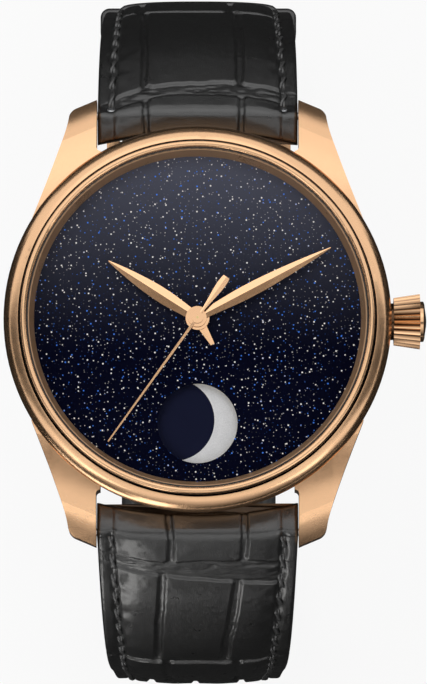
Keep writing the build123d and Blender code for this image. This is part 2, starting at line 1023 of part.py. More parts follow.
def escape_wheel():
    points = []
    for number in range(escape_teeth):
        angle = number * 360 / escape_teeth
        points.append(polar(escape_root, angle, escape_at))
        points.append(polar(escape_radius, angle + escape_lean, escape_at))
        points.append(polar(escape_root, angle + escape_lean, escape_at))
    body = slab(points, third_low, third_high)
    body = body - ring(escape_root * hub_share * 2, escape_root * rim_share, third_low, third_high, escape_at)
    for number in range(4):
        end = polar(escape_root * rim_share + spoke_width / 4, number * 90, escape_at)
        body = body + link(escape_at, end, spoke_width / 4, third_low, third_high)
    phase = meshing(0, fourth_teeth, escape_pinion_teeth, bearing(centre, escape_at))
    body = body + toothed(
        escape_pinion_teeth, fourth_module, fourth_low, third_low, escape_at, phase
    )
    return body + arbor(escape_at, train_low(), train_high(), seconds_arbor)


def pallet_fork():
    low, high = third_low, third_high
    toward = bearing(escape_at, balance_at)
    body = link(pallet_at, polar(pallet_fork_reach, toward, pallet_at), pallet_width / 2, low, high)
    for side in (-1, 1):
        stone = polar(pallet_stone_circle, toward + side * pallet_stone_angle, escape_at)
        body = body + link(pallet_at, stone, pallet_width / 2, low, high)
    body = body + disc(pallet_width, low, high, pallet_at)
    return body + arbor(pallet_at, pallet_bridge_low, train_high(), seconds_arbor)


def balance_wheel():
    body = ring(balance_inner, balance_radius, balance_low, balance_high, balance_at)
    for angle in (0, 180):
        end = polar((balance_inner + balance_radius) / 2, angle, balance_at)
        body = body + link(balance_at, end, balance_arm_width / 2, balance_low, balance_high)
    body = body + disc(balance_hub, hairspring_low, balance_high, balance_at)
    body = body + disc(roller_radius, roller_low, roller_high, balance_at)
    return body + arbor(balance_at, cock_low + pivot_inset, train_high(), balance_arbor)


def hairspring():
    coil = spiral(
        hairspring_inner,
        hairspring_pitch,
        hairspring_half_turns,
        hairspring_thickness,
        hairspring_low,
        hairspring_high,
    )
    return Pos(balance_x, balance_y, 0) * coil


# Plate, bridges, jewels and screws

screw_head_radius = 0.75
screw_head_height = 0.28
screw_radius = 0.32
screw_reach = 4.9
screw_circle = 15.3
barrel_bridge_screw_angles = (15.0, 70.0, 135.0)
train_bridge_screw_angles = (178.0, 236.0)
bridge_seam = 0.3
region_far = 16.5
seam_points = ((-16.5, 4.35), (-5.1, 4.35), (-1.1, 2.55), (2.7, 2.35), (4.75, -1.15), (5.6, -3.6))
barrel_bridge_end = (16.5, -8.5)
train_bridge_end = (-1.6, -16.5)


def screw_places():
    places = [polar(screw_circle, angle) for angle in barrel_bridge_screw_angles]
    places += [polar(screw_circle, angle) for angle in train_bridge_screw_angles]
    return places


def jewel_holes():
    return (
        (second_at, arbor_radius),
        (third_at, arbor_radius),
        (centre, seconds_arbor),
        (escape_at, seconds_arbor),
    )


def bridge(outline):
    """A bridge over part of the train, standing on a wall at the rim."""
    body = slab(outline, bridge_low, plate_low)
    body = body & disc(bridge_radius, bridge_low, plate_low)
    body = body - disc(bridge_wall_inner, bridge_high, plate_low)
    body = body - disc(balance_room, bridge_low, plate_low, balance_at)
    for at in screw_places():
        body = body - disc(screw_radius, bridge_low, plate_low, at)
    return body


def barrel_bridge():
    edge = [(x, y + bridge_seam) for x, y in seam_points]
    outline = edge + [barrel_bridge_end, (region_far, region_far), (-region_far, region_far)]
    body = bridge(outline)
    body = body - disc(barrel_arbor_radius + running_gap, bridge_low, bridge_high, barrel_at)
    body = body - disc(jewel_radius, bridge_low, bridge_high, second_at)
    return body - disc(crown_hub_outer + running_gap, bridge_low, bridge_high, crown_wheel_at)


def train_bridge():
    edge = [(x - bridge_seam / 2, y) for x, y in seam_points]
    outline = edge + [train_bridge_end, (-region_far, -region_far)]
    body = bridge(outline)
    for at in (third_at, centre, escape_at):
        body = body - disc(jewel_radius, bridge_low, bridge_high, at)
    return body


def pallet_bridge_ends():
    across = bearing(escape_at, balance_at) + 90
    return [polar(side * pallet_bridge_reach, across, pallet_at) for side in (-1, 1)]


def pallet_bridge():
    ends = pallet_bridge_ends()
    body = link(ends[0], ends[1], pallet_bridge_half, pallet_bridge_low, pallet_bridge_high)
    for end in ends:
        body = body + disc(pallet_bridge_half, pallet_bridge_high, plate_low, end)
    return body - disc(seconds_arbor + seat_gap, pallet_bridge_low, pallet_bridge_high, pallet_at)


def cock_foot():
    return (cock_foot_x, cock_foot_y)


def balance_cock():
    body = link(balance_at, cock_foot(), cock_half, cock_low, cock_high)
    body = body + disc(cock_half, cock_high, plate_low, cock_foot())
    body = body - disc(screw_radius, cock_low, plate_low, cock_foot())
    return body - disc(jewel_radius, cock_low, cock_high, balance_at)


def jewels():
    stones = []
    for at, radius in jewel_holes():
        bore = radius + seat_gap
        stones.append(ring(bore, jewel_radius, bridge_low, bridge_high, at))
        stones.append(ring(bore, jewel_radius, plate_low, plate_high, at))
    stones.append(ring(balance_arbor + seat_gap, jewel_radius, cock_low, cock_high, balance_at))
    stones.append(ring(balance_arbor + seat_gap, jewel_radius, plate_low, plate_high, balance_at))
    stones.append(ring(seconds_arbor + seat_gap, jewel_radius, plate_low, plate_high, pallet_at))
    return stones


def bridge_screws():
    screws = []
    for number, at in enumerate(screw_places()):
        low = bridge_low - screw_head_height
        head = slotted_head(screw_head_radius, low, bridge_low, at, number * 50)
        screws.append(head + disc(screw_radius, bridge_low, screw_reach, at))
    low = cock_low - screw_head_height
    head = slotted_head(screw_head_radius, low, cock_low, cock_foot(), 20)
    screws.append(head + disc(screw_radius, cock_low, screw_reach, cock_foot()))
    return screws


def main_plate():
    body = disc(plate_radius, plate_low, plate_high)
    holes = [at for at, radius in jewel_holes()] + [balance_at, pallet_at]
    for at in holes:
        body = body - disc(jewel_radius, plate_low, plate_high, at)
    for at in screw_places() + [cock_foot()]:
        body = body - disc(screw_radius, plate_low, screw_reach, at)
    body = body - disc(barrel_arbor_radius + running_gap, plate_low, plate_high, barrel_at)
    inner = stem_inner_x - running_gap
    body = body - block(
        (inner - running_gap, -keyless_half, plate_low), (keyless_end_x, keyless_half, plate_high)
    )
    body = body - block((inner, -stem_slot_half, plate_low), (plate_radius, stem_slot_half, plate_high))
    studs = (
        (minute_at, level_b_high),
        (setting_at, level_a_high),
        (day_at, level_d_high),
        (moon_first_at, level_c_high),
        (moon_second_at, level_d_high),
    )
    for at, high in studs:
        body = body + disc(stud_radius, plate_high, high + stud_proud, at)
    return body


# Winding work


def ratchet_wheel():
    body = toothed(ratchet_teeth, winding_module, ratchet_low, ratchet_high, barrel_at)
    return body - disc(barrel_arbor_radius / 2, ratchet_low, ratchet_high, barrel_at)


def crown_wheel():
    at = crown_wheel_at
    phase = meshing(0, ratchet_teeth, crown_wheel_teeth, bearing(barrel_at, at))
    body = toothed(crown_wheel_teeth, winding_module, ratchet_low, ratchet_high, at, phase)
    body = body + ring(crown_hub_inner, crown_hub_outer, ratchet_high, crown_hub_low, at)
    gap = math.pi * crown_hub_outer / contrate_teeth / 2
    for number in range(contrate_teeth // 2):
        cut = block(
            (-crown_hub_outer, -gap / 2, crown_hub_low - contrate_depth),
            (crown_hub_outer, gap / 2, crown_hub_low),
        )
        body = body - Pos(at[0], at[1], 0) * Rot(0, 0, number * 360 / contrate_teeth) * cut
    return body


def click():
    pivot = (click_x, click_y)
    reach = winding_module * (ratchet_teeth / 2 + addendum_share) + seat_gap
    nose_at = polar(reach + click_half, bearing(barrel_at, pivot) - 18, barrel_at)
    body = link(pivot, nose_at, click_half, ratchet_low, ratchet_high)
    return body


def along_stem(body):
    """Stands a shape made about the vertical axis along the stem axis."""
    return Pos(0, 0, stem_height) * Rot(0, 90, 0) * body


def winding_stem():
    body = rod(stem_radius, stem_inner_x, stem_outer_x, 0, stem_height)
    return body


def winding_pinion():
    body = toothed(
        winding_pinion_teeth, winding_pinion_module, winding_pinion_low_x, winding_pinion_high_x
    )
    body = body - disc(stem_radius + seat_gap, winding_pinion_low_x, winding_pinion_high_x)
    return along_stem(body)


def sliding_clutch():
    body = disc(clutch_waist_radius, clutch_low_x, clutch_high_x)
    body = body + disc(clutch_radius, clutch_low_x, clutch_low_x + clutch_flange)
    body = body + disc(clutch_radius, clutch_high_x - clutch_flange, clutch_high_x)
    return along_stem(body - disc(stem_radius + seat_gap, clutch_low_x, clutch_high_x))


def setting_lever():
    pivot = (setting_lever_x, setting_lever_y)
    nose_at = (setting_lever_x, setting_lever_y - setting_lever_reach)
    body = link(pivot, nose_at, setting_lever_half, setting_lever_low, setting_lever_high)
    return body


# Crown


def star(radius, depth, x):
    points = []
    for number in range(2 * crown_flutes):
        reach = radius - depth * (number % 2)
        y, z = polar(reach, number * 180 / crown_flutes)
        points.append((x, y, z + stem_height))
    return make_face(Polyline(*points, close=True))


def crown():
    body = loft(
        [
            star(crown_small_radius, crown_flute_depth, crown_body_x),
            star(crown_large_radius, crown_flute_depth, crown_body_end_x),
        ],
        ruled=True,
    )
    body = body + rod(crown_neck_radius, crown_neck_x, crown_body_x, 0, stem_height)
    shoulder = (crown_ring_x + crown_top_x) / 2
    face = make_face(
        [
            Line((0, 0, crown_body_end_x), (crown_ring_radius, 0, crown_body_end_x)),
            Line((crown_ring_radius, 0, crown_body_end_x), (crown_ring_radius, 0, crown_ring_x)),
            Spline(
                (crown_ring_radius, 0, crown_ring_x),
                (crown_ring_radius * crown_shoulder_share, 0, shoulder),
                (0, 0, crown_top_x),
                tangents=((-1, 0, 1), (-1, 0, 0)),
            ),
            Line((0, 0, crown_top_x), (0, 0, crown_body_end_x)),
        ]
    )
    body = body + along_stem(revolve(face, Axis.Z))
    body = body - rod(crown_bore_radius, crown_neck_x, crown_bore_end_x, 0, stem_height)
    body = body - rod(
        crown_gasket_radius, crown_gasket_low_x, crown_gasket_high_x, 0, stem_height
    )
    return body - rod(stem_radius, crown_bore_end_x, stem_outer_x, 0, stem_height)


def crown_gasket():
    body = ring(tube_radius + seat_gap, crown_gasket_radius, crown_gasket_low_x, crown_gasket_high_x)
    return along_stem(body)


def crown_tube():
    body = ring(stem_radius + running_gap, tube_radius, tube_inner_x, tube_outer_x)
    return along_stem(body)


def spring_bars():
    bars = []
    half = lug_gap / 2 - bar_end_gap
    reach = lug_gap / 2 + bar_tip_reach
    for side in (-1, 1):
        bar = rod(bar_radius, -half, half, side * bar_y, bar_height)
        bars.append(bar + rod(bar_tip_radius, -reach, reach, side * bar_y, bar_height))
    return bars


# Strap, as a path in the y-z plane counted from the spring bar


def strap_place(travel, side):
    """Distance outward from the bar, height from the bar and heading at a length along the strap."""
    leave = math.radians(strap_upper_leave_angle if side > 0 else strap_lower_leave_angle)
    side_drop = strap_side_radius * math.cos(leave)
    straight = strap_drop - side_drop - strap_foot_radius
    first = strap_side_radius * (math.pi / 2 - leave)
    second = first + straight
    third = second + strap_foot_radius * math.pi / 2
    if travel <= first:
        heading = leave + travel / strap_side_radius
        out = strap_side_radius * (math.sin(heading) - math.sin(leave))
        drop = strap_side_radius * (math.cos(leave) - math.cos(heading))
        return out, -drop, heading
    out = strap_side_radius * (1 - math.sin(leave))
    if travel <= second:
        return out, -(side_drop + travel - first), math.pi / 2
    if travel <= third:
        bend = (travel - second) / strap_foot_radius
        out = out - strap_foot_radius * (1 - math.cos(bend))
        drop = side_drop + straight + strap_foot_radius * math.sin(bend)
        return out, -drop, math.pi / 2 + bend
    return out - strap_foot_radius - (travel - third), -strap_drop, math.pi


def strap_half_width(travel, side):
    power = strap_upper_taper_power if side > 0 else strap_lower_taper_power
    share = min(1, travel / strap_width_taper) ** power
    return (strap_lug_width + (strap_end_width - strap_lug_width) * share) / 2


def strap_half_thickness(travel):
    share = min(1, travel / strap_pad_taper)
    return strap_lug_half + (strap_end_half - strap_lug_half) * share


def strap_plane(travel, side):
    """Local plane: x across the strap, y out of its outer face, z along it."""
    out, height, heading = strap_place(travel, side)
    origin = (0, side * (bar_y + out), back_height + bar_height + height)
    along = (0, side * math.cos(heading), -math.sin(heading))
    across = (side, 0, 0)
    return Plane(origin=origin, x_dir=across, z_dir=along)


def strap_section(travel, side):
    half = strap_half_width(travel, side)
    thick = strap_half_thickness(travel)
    share = min(1, travel / strap_pad_taper)
    rise = strap_crown_rise * (1 - share)
    flip = -1 if strap_outer_sign(travel, side) < 0 else 1
    plane = strap_plane(travel, side)
    low = -thick * flip
    edge = (thick - rise) * flip
    top = thick * flip
    if rise > 0:
        outer = ThreePointArc((half, edge), (0, top), (-half, edge))
    else:
        outer = Line((half, top), (-half, top))
    edges = [
        Line((-half, low), (half, low)),
        Line((half, low), (half, edge)),
        outer,
        Line((-half, edge), (-half, low)),
    ]
    return plane * make_face(edges)


def strap_outer_sign(travel, side):
    """Which way of the plane's y axis is the outside of the loop."""
    out, height, heading = strap_place(travel, side)
    plane = strap_plane(travel, side)
    outward = (0, side * math.sin(heading), math.cos(heading))
    y_dir = plane.y_dir
    return y_dir.Y * outward[1] + y_dir.Z * outward[2]


def strap_run(length, side):
    count = math.ceil(length / strap_section_step)
    stations = [length * number / count for number in range(count + 1)]
    body = loft([strap_section(travel, side) for travel in stations], ruled=True)
    half = strap_lug_width / 2
    height = back_height + bar_height
    nose = rod(strap_nose_radius, -half, half, side * bar_y, height)
    inner = bar_y - strap_end_reach
    low_y, high_y = sorted((side * inner, side * bar_y))
    pad = block((-half, low_y, height - strap_end_low), (half, high_y, height + strap_end_low))
    hollow_y = side * (bar_y - strap_lug_half - strap_hollow_radius)
    hollow = disc(
        strap_hollow_radius, height - strap_end_low, height + strap_end_low, (0, hollow_y)
    )
    body = body + nose + (pad - hollow)
    return body - rod(bar_radius + running_gap, -half, half, side * bar_y, height)


def strap_lower():
    body = strap_run(strap_lower_length, -1)
    out, height, heading = strap_place(strap_lower_length, -1)
    tip_y = -(bar_y + out)
    high = 2 * strap_end_half
    start = tip_y - strap_tip_radius
    corners = block((-strap_end_width, start, -high), (strap_end_width, 2 * tip_y, 2 * high))
    body = body - (corners - disc(strap_tip_radius, -high, 2 * high, (0, start)))
    for number in range(strap_hole_count):
        hole_y = strap_hole_first - number * strap_hole_pitch
        body = body - disc(strap_hole_radius, -high, 2 * high, (0, hole_y))
    return body


def buckle_place():
    out, height, heading = strap_place(strap_upper_length, 1)
    return bar_y + out, back_height + bar_height + height


def strap_upper():
    body = strap_run(strap_upper_length, 1)
    y, z = buckle_place()
    half = strap_end_width / 2
    body = body + rod(buckle_nose_radius, -half, half, y, z)
    body = body - rod(buckle_bar_radius + running_gap, -half, half, y, z)
    slot = block(
        (-tongue_slot_half, y - buckle_nose_radius, z - 2 * buckle_nose_radius),
        (tongue_slot_half, y + tongue_slot_back, z + 3 * buckle_nose_radius),
    )
    return body - slot


def keeper(travel, side):
    half = strap_half_width(travel, side) + keeper_gap
    thick = strap_half_thickness(travel) + keeper_gap
    outer_half = half + keeper_wall
    outer_thick = thick + keeper_wall
    long = keeper_length / 2
    shell = Box(2 * outer_half, 2 * outer_thick, keeper_length)
    shell = fillet(shell.edges().filter_by(Axis.Z), keeper_wall)
    shell = shell - Box(2 * half, 2 * thick, 2 * long)
    return strap_plane(travel, side).location * shell


def keeper_fixed():
    return keeper(keeper_fixed_at, 1)


def keeper_free():
    return keeper(keeper_free_at, 1)


def buckle_tilt():
    """Slope of the buckle, whose front rail lies on the table."""
    y, z = buckle_place()
    return math.degrees(math.asin((z - buckle_front_radius) / buckle_length))


def placed_buckle(body):
    """Moves a shape made along +X from the bar to its place, leading toward -Y."""
    y, z = buckle_place()
    return Pos(0, y, z) * Rot(buckle_tilt(), 0, 0) * Rot(0, 0, -90) * body


def buckle_rail(radius, half, x):
    rail = Cylinder(radius, 2 * half)
    return Pos(x, 0, 0) * Rot(90, 0, 0) * rail


def buckle_frame():
    inner = strap_end_width / 2 + buckle_side_gap
    outer = inner + buckle_side_width
    front = buckle_rail(buckle_front_radius, outer, buckle_length)
    body = front
    for side in (-1, 1):
        low, high = sorted((side * inner, side * outer))
        arm = block((-buckle_back, low, -buckle_side_half), (buckle_length, high, buckle_side_half))
        body = body + arm
    body = body - buckle_rail(buckle_bar_radius, outer, 0)
    return placed_buckle(body)


def buckle_bar():
    outer = strap_end_width / 2 + buckle_side_gap + buckle_side_width
    return placed_buckle(buckle_rail(buckle_bar_radius, outer, 0))


def buckle_tongue():
    half = tongue_width / 2
    hub = buckle_rail(buckle_nose_radius, half, 0)
    rise = buckle_front_radius + tongue_half + running_gap
    slope = math.degrees(math.asin(rise / buckle_length))
    finger = block((0, -half, -tongue_half), (buckle_length + tongue_overhang, half, tongue_half))
    body = hub + Rot(0, -slope, 0) * finger
    return placed_buckle(body - buckle_rail(buckle_bar_radius + running_gap, half, 0))


# Writing out

head_pieces = {
    "case_middle": case_middle,
    "case_back_ring": case_back_ring,
    "case_back_crystal": lambda: disc(
        window_seat_radius - seat_gap, window_lip, window_lip + window_thickness
    ),
    "case_back_screws": case_back_screws,
    "bezel": bezel,
    "crystal": crystal,
    "crystal_gasket": lambda: ring(crystal_radius, bezel_bore, crystal_low, crystal_gasket_high),
    "flange_ring": flange_ring,
    "casing_ring": casing_ring,
    "dial": dial,
    "dial_base": dial_base,
    "moon_disc": moon_disc,
    "new_moon_inlays": new_moon_inlays,
    "day_night_hand": day_night_hand,
    "hour_hand": hour_hand,
    "minute_hand": minute_hand,
    "seconds_hand": seconds_hand,
    "cannon_pinion": cannon_pinion,
    "minute_wheel": minute_wheel,
    "setting_wheel": setting_wheel,
    "friction_pinion": friction_pinion,
    "hour_wheel": hour_wheel,
    "day_wheel": day_wheel,
    "day_night_wheel": day_night_wheel,
    "moon_wheel_1": moon_wheel_1,
    "moon_wheel_2": moon_wheel_2,
    "barrel": barrel,
    "barrel_arbor": barrel_arbor,
    "second_wheel": second_wheel,
    "third_wheel": third_wheel,
    "fourth_wheel": fourth_wheel,
    "escape_wheel": escape_wheel,
    "pallet_fork": pallet_fork,
    "balance_wheel": balance_wheel,
    "hairspring": hairspring,
    "main_plate": main_plate,
    "barrel_bridge": barrel_bridge,
    "train_bridge": train_bridge,
    "pallet_bridge": pallet_bridge,
    "balance_cock": balance_cock,
    "jewels": jewels,
    "bridge_screws": bridge_screws,
    "ratchet_wheel": ratchet_wheel,
    "crown_wheel": crown_wheel,
    "click": click,
    "winding_stem": winding_stem,
    "winding_pinion": winding_pinion,
    "sliding_clutch": sliding_clutch,
    "setting_lever": setting_lever,
    "crown": crown,
    "crown_gasket": crown_gasket,
    "crown_tube": crown_tube,
    "spring_bars": spring_bars,
}

strap_pieces = {
    "strap_upper": strap_upper,
    "strap_lower": strap_lower,
    "keeper_fixed": keeper_fixed,
    "keeper_free": keeper_free,
    "buckle_frame": buckle_frame,
    "buckle_bar": buckle_bar,
    "buckle_tongue": buckle_tongue,
}


def write(name, shape):
    if isinstance(shape, list):
        shape = Compound(children=[Part(piece.wrapped) for piece in shape])
    export_step(shape, f"parts/{name}.step")


for name, make in head_pieces.items():
    shape = make()
    if isinstance(shape, list):
        shape = [Pos(0, 0, back_height) * piece for piece in shape]
    else:
        shape = Pos(0, 0, back_height) * shape
    write(name, shape)

for name, make in strap_pieces.items():
    write(name, make())
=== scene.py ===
# %% [markdown]
# # A moon phase watch
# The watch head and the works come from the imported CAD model, which is already in place and in metres.
# This lesson gives them polish, star glass and frost, and makes the parts that CAD leaves plain: the
# padded leather, its scales and stitches, and the finely rounded rings round the dial.

# %% Load the frame
import json
import math

import bmesh
import bpy
import numpy as np
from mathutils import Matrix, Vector


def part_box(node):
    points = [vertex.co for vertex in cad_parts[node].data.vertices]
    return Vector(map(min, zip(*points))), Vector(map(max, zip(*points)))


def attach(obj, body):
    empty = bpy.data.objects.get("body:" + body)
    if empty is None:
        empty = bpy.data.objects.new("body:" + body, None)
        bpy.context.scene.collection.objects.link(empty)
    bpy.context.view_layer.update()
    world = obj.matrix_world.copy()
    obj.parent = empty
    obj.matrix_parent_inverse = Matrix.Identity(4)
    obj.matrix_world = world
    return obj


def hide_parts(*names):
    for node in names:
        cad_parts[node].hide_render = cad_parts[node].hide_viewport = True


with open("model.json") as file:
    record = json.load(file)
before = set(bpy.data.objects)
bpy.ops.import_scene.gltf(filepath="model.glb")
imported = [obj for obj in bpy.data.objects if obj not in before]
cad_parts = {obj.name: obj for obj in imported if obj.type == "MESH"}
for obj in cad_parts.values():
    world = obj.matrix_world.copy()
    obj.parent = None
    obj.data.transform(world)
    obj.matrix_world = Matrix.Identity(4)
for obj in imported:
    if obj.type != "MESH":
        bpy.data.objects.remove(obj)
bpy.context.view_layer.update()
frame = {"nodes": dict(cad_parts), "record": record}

MM = 0.001
nodes = frame["nodes"]
print("pieces in the frame:", len(nodes))

# %% [markdown]
# ## Where things are
# The heights come from the CAD pieces, so that the looks follow if the watch stands higher or lower. The
# case back's plane lies a known depth under the dial, and the spring bars and the winding stem lie a
# known height over that plane, as in the part's own drawing.

# %% Places read from the frame
HEAD_DEPTH, BAR_HEIGHT, STEM_HEIGHT = 8.0 * MM, 2.8 * MM, 4.7 * MM
DIAL_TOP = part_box("dial")[1].z
BEZEL_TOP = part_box("bezel")[1].z
BACK = DIAL_TOP - HEAD_DEPTH
BAR_Y = 22.8 * MM
BAR_Z = BACK + BAR_HEIGHT
STEM_Z = BACK + STEM_HEIGHT
print("dial top", round(DIAL_TOP * 1000, 2), "mm, bezel top", round(BEZEL_TOP * 1000, 2), "mm")

# %% [markdown]
# ## The camera
# The view is almost straight down on the dial, leaning a little toward six o'clock. A long lens far
# away keeps the circle of the case round, as the picture shows it.

# %% Camera
PICTURE_HEIGHT = 684
PX_PER_MM = 9.276
ELEVATION = math.radians(84.3)
DISTANCE = 0.70
aim = Vector((1.73 * MM, -2.78 * MM, BEZEL_TOP))
back_dir = Vector((0, -math.cos(ELEVATION), math.sin(ELEVATION)))
camera_data = bpy.data.cameras.new("camera")
camera = bpy.data.objects.new("camera", camera_data)
bpy.context.collection.objects.link(camera)
camera.location = aim + back_dir * DISTANCE
camera.rotation_mode = "QUATERNION"
camera.rotation_quaternion = (-back_dir).to_track_quat("-Z", "Y")
camera_data.sensor_fit = "AUTO"
camera_data.sensor_width = 36
camera_data.lens = PX_PER_MM / MM * DISTANCE * camera_data.sensor_width / PICTURE_HEIGHT
camera_data.clip_start = 0.01
camera_data.clip_end = 20
bpy.context.scene.camera = camera
print("lens", round(camera_data.lens, 1), "mm")

# %% [markdown]
# ## Shader maths
# A material is easier to read when its sums look like sums. The class below wraps one output socket;
# adding or multiplying two of them adds the Math node that does it. Any other node comes from
# Shader.node, which takes the node's settings first and the values of its sockets after them, each
# under the socket's name or under i and its number.

# %% A socket that can be added and multiplied
class Value:
    def __init__(self, shader, socket):
        self.shader = shader
        self.socket = socket

    def math(self, operation, *others):
        node = self.shader.tree.nodes.new("ShaderNodeMath")
        node.operation = operation
        for slot, item in zip(node.inputs, (self, *others)):
            self.shader.feed(slot, item)
        return Value(self.shader, node.outputs[0])

    def swapped(self, operation, other):
        node = self.shader.tree.nodes.new("ShaderNodeMath")
        node.operation = operation
        self.shader.feed(node.inputs[0], other)
        self.shader.feed(node.inputs[1], self)
        return Value(self.shader, node.outputs[0])

    def __add__(self, other):
        return self.math("ADD", other)

    def __mul__(self, other):
        return self.math("MULTIPLY", other)

    def __sub__(self, other):
        return self.math("SUBTRACT", other)

    def __rsub__(self, other):
        return self.swapped("SUBTRACT", other)

    def __pow__(self, other):
        return self.math("POWER", other)

    def beside(self, output):
        return Value(self.shader, self.socket.node.outputs[output])

    __radd__ = __add__
    __rmul__ = __mul__


# %% A material under construction
class Shader:
    def __init__(self, name):
        self.material = bpy.data.materials.new(name)
        self.material.use_nodes = True
        self.tree = self.material.node_tree
        self.surface = next(n for n in self.tree.nodes if n.type == "BSDF_PRINCIPLED")
        self.output = next(n for n in self.tree.nodes if n.type == "OUTPUT_MATERIAL")

    def feed(self, slot, item):
        if isinstance(item, Value):
            self.tree.links.new(item.socket, slot)
        elif hasattr(slot.default_value, "__len__") and not hasattr(item, "__len__"):
            slot.default_value = (item,) * len(slot.default_value)
        elif hasattr(item, "__len__") and len(item) == 3 and len(slot.default_value) == 4:
            slot.default_value = (*item, 1)
        else:
            slot.default_value = item

    def node(self, kind, settings=None, output=0, **inputs):
        node = self.tree.nodes.new("ShaderNode" + kind)
        for key, item in (settings or {}).items():
            setattr(node, key, item)
        for key, item in inputs.items():
            slot = node.inputs[int(key[1:])] if key[0] == "i" and key[1:].isdigit() else node.inputs[key]
            self.feed(slot, item)
        return Value(self, node.outputs[output])

    def place(self, stretch=(1, 1, 1)):
        where = self.node("TexCoord", output=3)
        return self.node("Mapping", {"vector_type": "POINT"}, Vector=where, Scale=stretch)

    def axes(self):
        """The object's own x, y and z."""
        x = self.node("SeparateXYZ", Vector=self.place())
        return x, x.beside(1), x.beside(2)

    def noise(self, scale, detail=2.0, rough=0.5, stretch=(1, 1, 1)):
        where = self.place(stretch)
        return self.node("TexNoise", {"noise_dimensions": "3D"}, Vector=where, Scale=scale, Detail=detail,
                         Roughness=rough)

    def spread(self, value, low, high, to_low=0.0, to_high=1.0):
        return self.node("MapRange", {"clamp": True}, Value=value, i1=low, i2=high, i3=to_low, i4=to_high)

    def mix(self, factor, first, second):
        return self.node("Mix", {"data_type": "RGBA"}, output=2, i0=factor, i6=first, i7=second)

    def set(self, **sockets):
        for key, item in sockets.items():
            self.feed(self.surface.inputs[key.replace("_", " ")], item)
        return self

    def rough(self, worn, low, high):
        """Roughness from one value to another over the range where most of a noise lies."""
        return self.set(Roughness=self.spread(worn, 0.3, 0.7, low, high))

    def bump(self, height, strength, distance):
        normal = self.node("Bump", Height=height, Strength=strength, Distance=distance)
        self.tree.links.new(normal.socket, self.surface.inputs["Normal"])
        return self

    def colour_so_far(self):
        return Value(self, self.surface.inputs["Base Color"].links[0].from_socket)

    def ends_in(self, shading):
        self.tree.links.new(shading.socket, self.output.inputs["Surface"])
        return self


# %% [markdown]
# ## Polished rose gold
# The case, hands, crown and buckle are solid rose gold with a mirror polish. Polish is a metal with very
# low roughness; what makes it look real is that it is not perfect. Two noises, one broad and one fine
# like the hairlines of a polishing cloth, move the roughness a little and tilt the surface by microns.
#
# Two pieces have dark lines that are too narrow to light well, so their shade is painted into the colour
# by where they lie: the groove between the bezel's two rings, and the bottoms of the crown's flutes.

# %% Rose gold
GROOVE_RADIUS, GROOVE_HALF, GROOVE_EDGE = 19.26 * MM, 0.07 * MM, 0.17 * MM
FLUTE_START, FLUTE_END = 21.3 * MM, 24.15 * MM
CONE_START, CONE_END = 2.6 * MM, 3.03 * MM
FLUTE_BOTTOM, FLUTE_TOP = -0.30 * MM, -0.06 * MM
END_DISC, END_DISC_SURE = 24.12 * MM, 24.16 * MM


def rose_gold(name, roughness, tint=(0.90, 0.55, 0.315), hairline=0.10):
    shader = Shader(name)
    broad = shader.noise(260, 2)
    fine = shader.noise(2600, 2, 0.6, (1, 1, 6))
    shade = shader.mix(shader.spread(broad, 0.35, 0.65), tuple(0.965 * c for c in tint), tint)
    worn = broad * 0.6 + fine * 0.4
    shader.set(Base_Color=shade, Metallic=1.0)
    shader.rough(worn, roughness * 0.8, roughness * 1.3)
    return shader.bump(fine, hairline, 0.00002)


def bezel_gold():
    """The bezel's gold, with painted shade in the narrow groove that parts its two rings."""
    shader = rose_gold("rose_gold_bezel", 0.21, hairline=0.04)
    x, y, _ = shader.axes()
    radius = (x * x + y * y) ** 0.5
    away = (radius - GROOVE_RADIUS).math("ABSOLUTE")
    unshaded_ring = shader.spread(away, GROOVE_HALF, GROOVE_EDGE)
    # Painted shade: the narrow ring of the groove is mixed toward near black.
    return shader.set(Base_Color=shader.mix(unshaded_ring, (0.02, 0.012, 0.008), shader.colour_so_far()))


def crown_gold():
    """The crown's gold, with painted shade toward the bottom of the flutes."""
    shader = rose_gold("rose_gold_crown", 0.15)
    x, y, z = shader.axes()
    high = z - STEM_Z
    radius = (y * y + high * high) ** 0.5
    cone = shader.spread(x, FLUTE_START, FLUTE_END, CONE_START, CONE_END)
    unshaded_flute = shader.spread(radius - cone, FLUTE_BOTTOM, FLUTE_TOP)
    end = shader.spread(x, END_DISC, END_DISC_SURE)
    # Painted shade: the flute bottoms are mixed toward dark brown, and the end disc is left out.
    shade = shader.mix(unshaded_flute.math("MAXIMUM", end), (0.10, 0.055, 0.03), shader.colour_so_far())
    return shader.set(Base_Color=shade)


polished_gold = rose_gold("rose_gold_polished", 0.11)
groove_shaded_gold = bezel_gold()
fluted_gold = crown_gold()
case_gold = rose_gold("rose_gold_case", 0.22, hairline=0.04)
flange_gold = rose_gold("rose_gold_flange", 0.30, (0.60, 0.36, 0.20)).set(Metallic=0.45)
golds = (polished_gold, groove_shaded_gold, fluted_gold, case_gold, flange_gold)
print("golds:", ", ".join(gold.material.name for gold in golds))

# %% [markdown]
# ## Steel, gilt brass and the plates of the works
# Behind the glass of the back the works show. Bridges and the plate are nickel plated and carry the
# straight stripes that a turning wooden disc leaves; wheels are gilt, and screws are blued by heat.

# %% Metals of the works
def plain_metal(name, colour, roughness, grain=1800, stretch=(1, 1, 1)):
    shader = Shader(name)
    cloud = shader.noise(grain, 3, 0.6, stretch)
    low = tuple(0.86 * c for c in colour)
    shader.set(Base_Color=shader.mix(cloud, low, colour), Metallic=1.0)
    shader.rough(cloud, roughness * 0.8, roughness * 1.35)
    return shader.bump(cloud, 0.12, 0.00003)


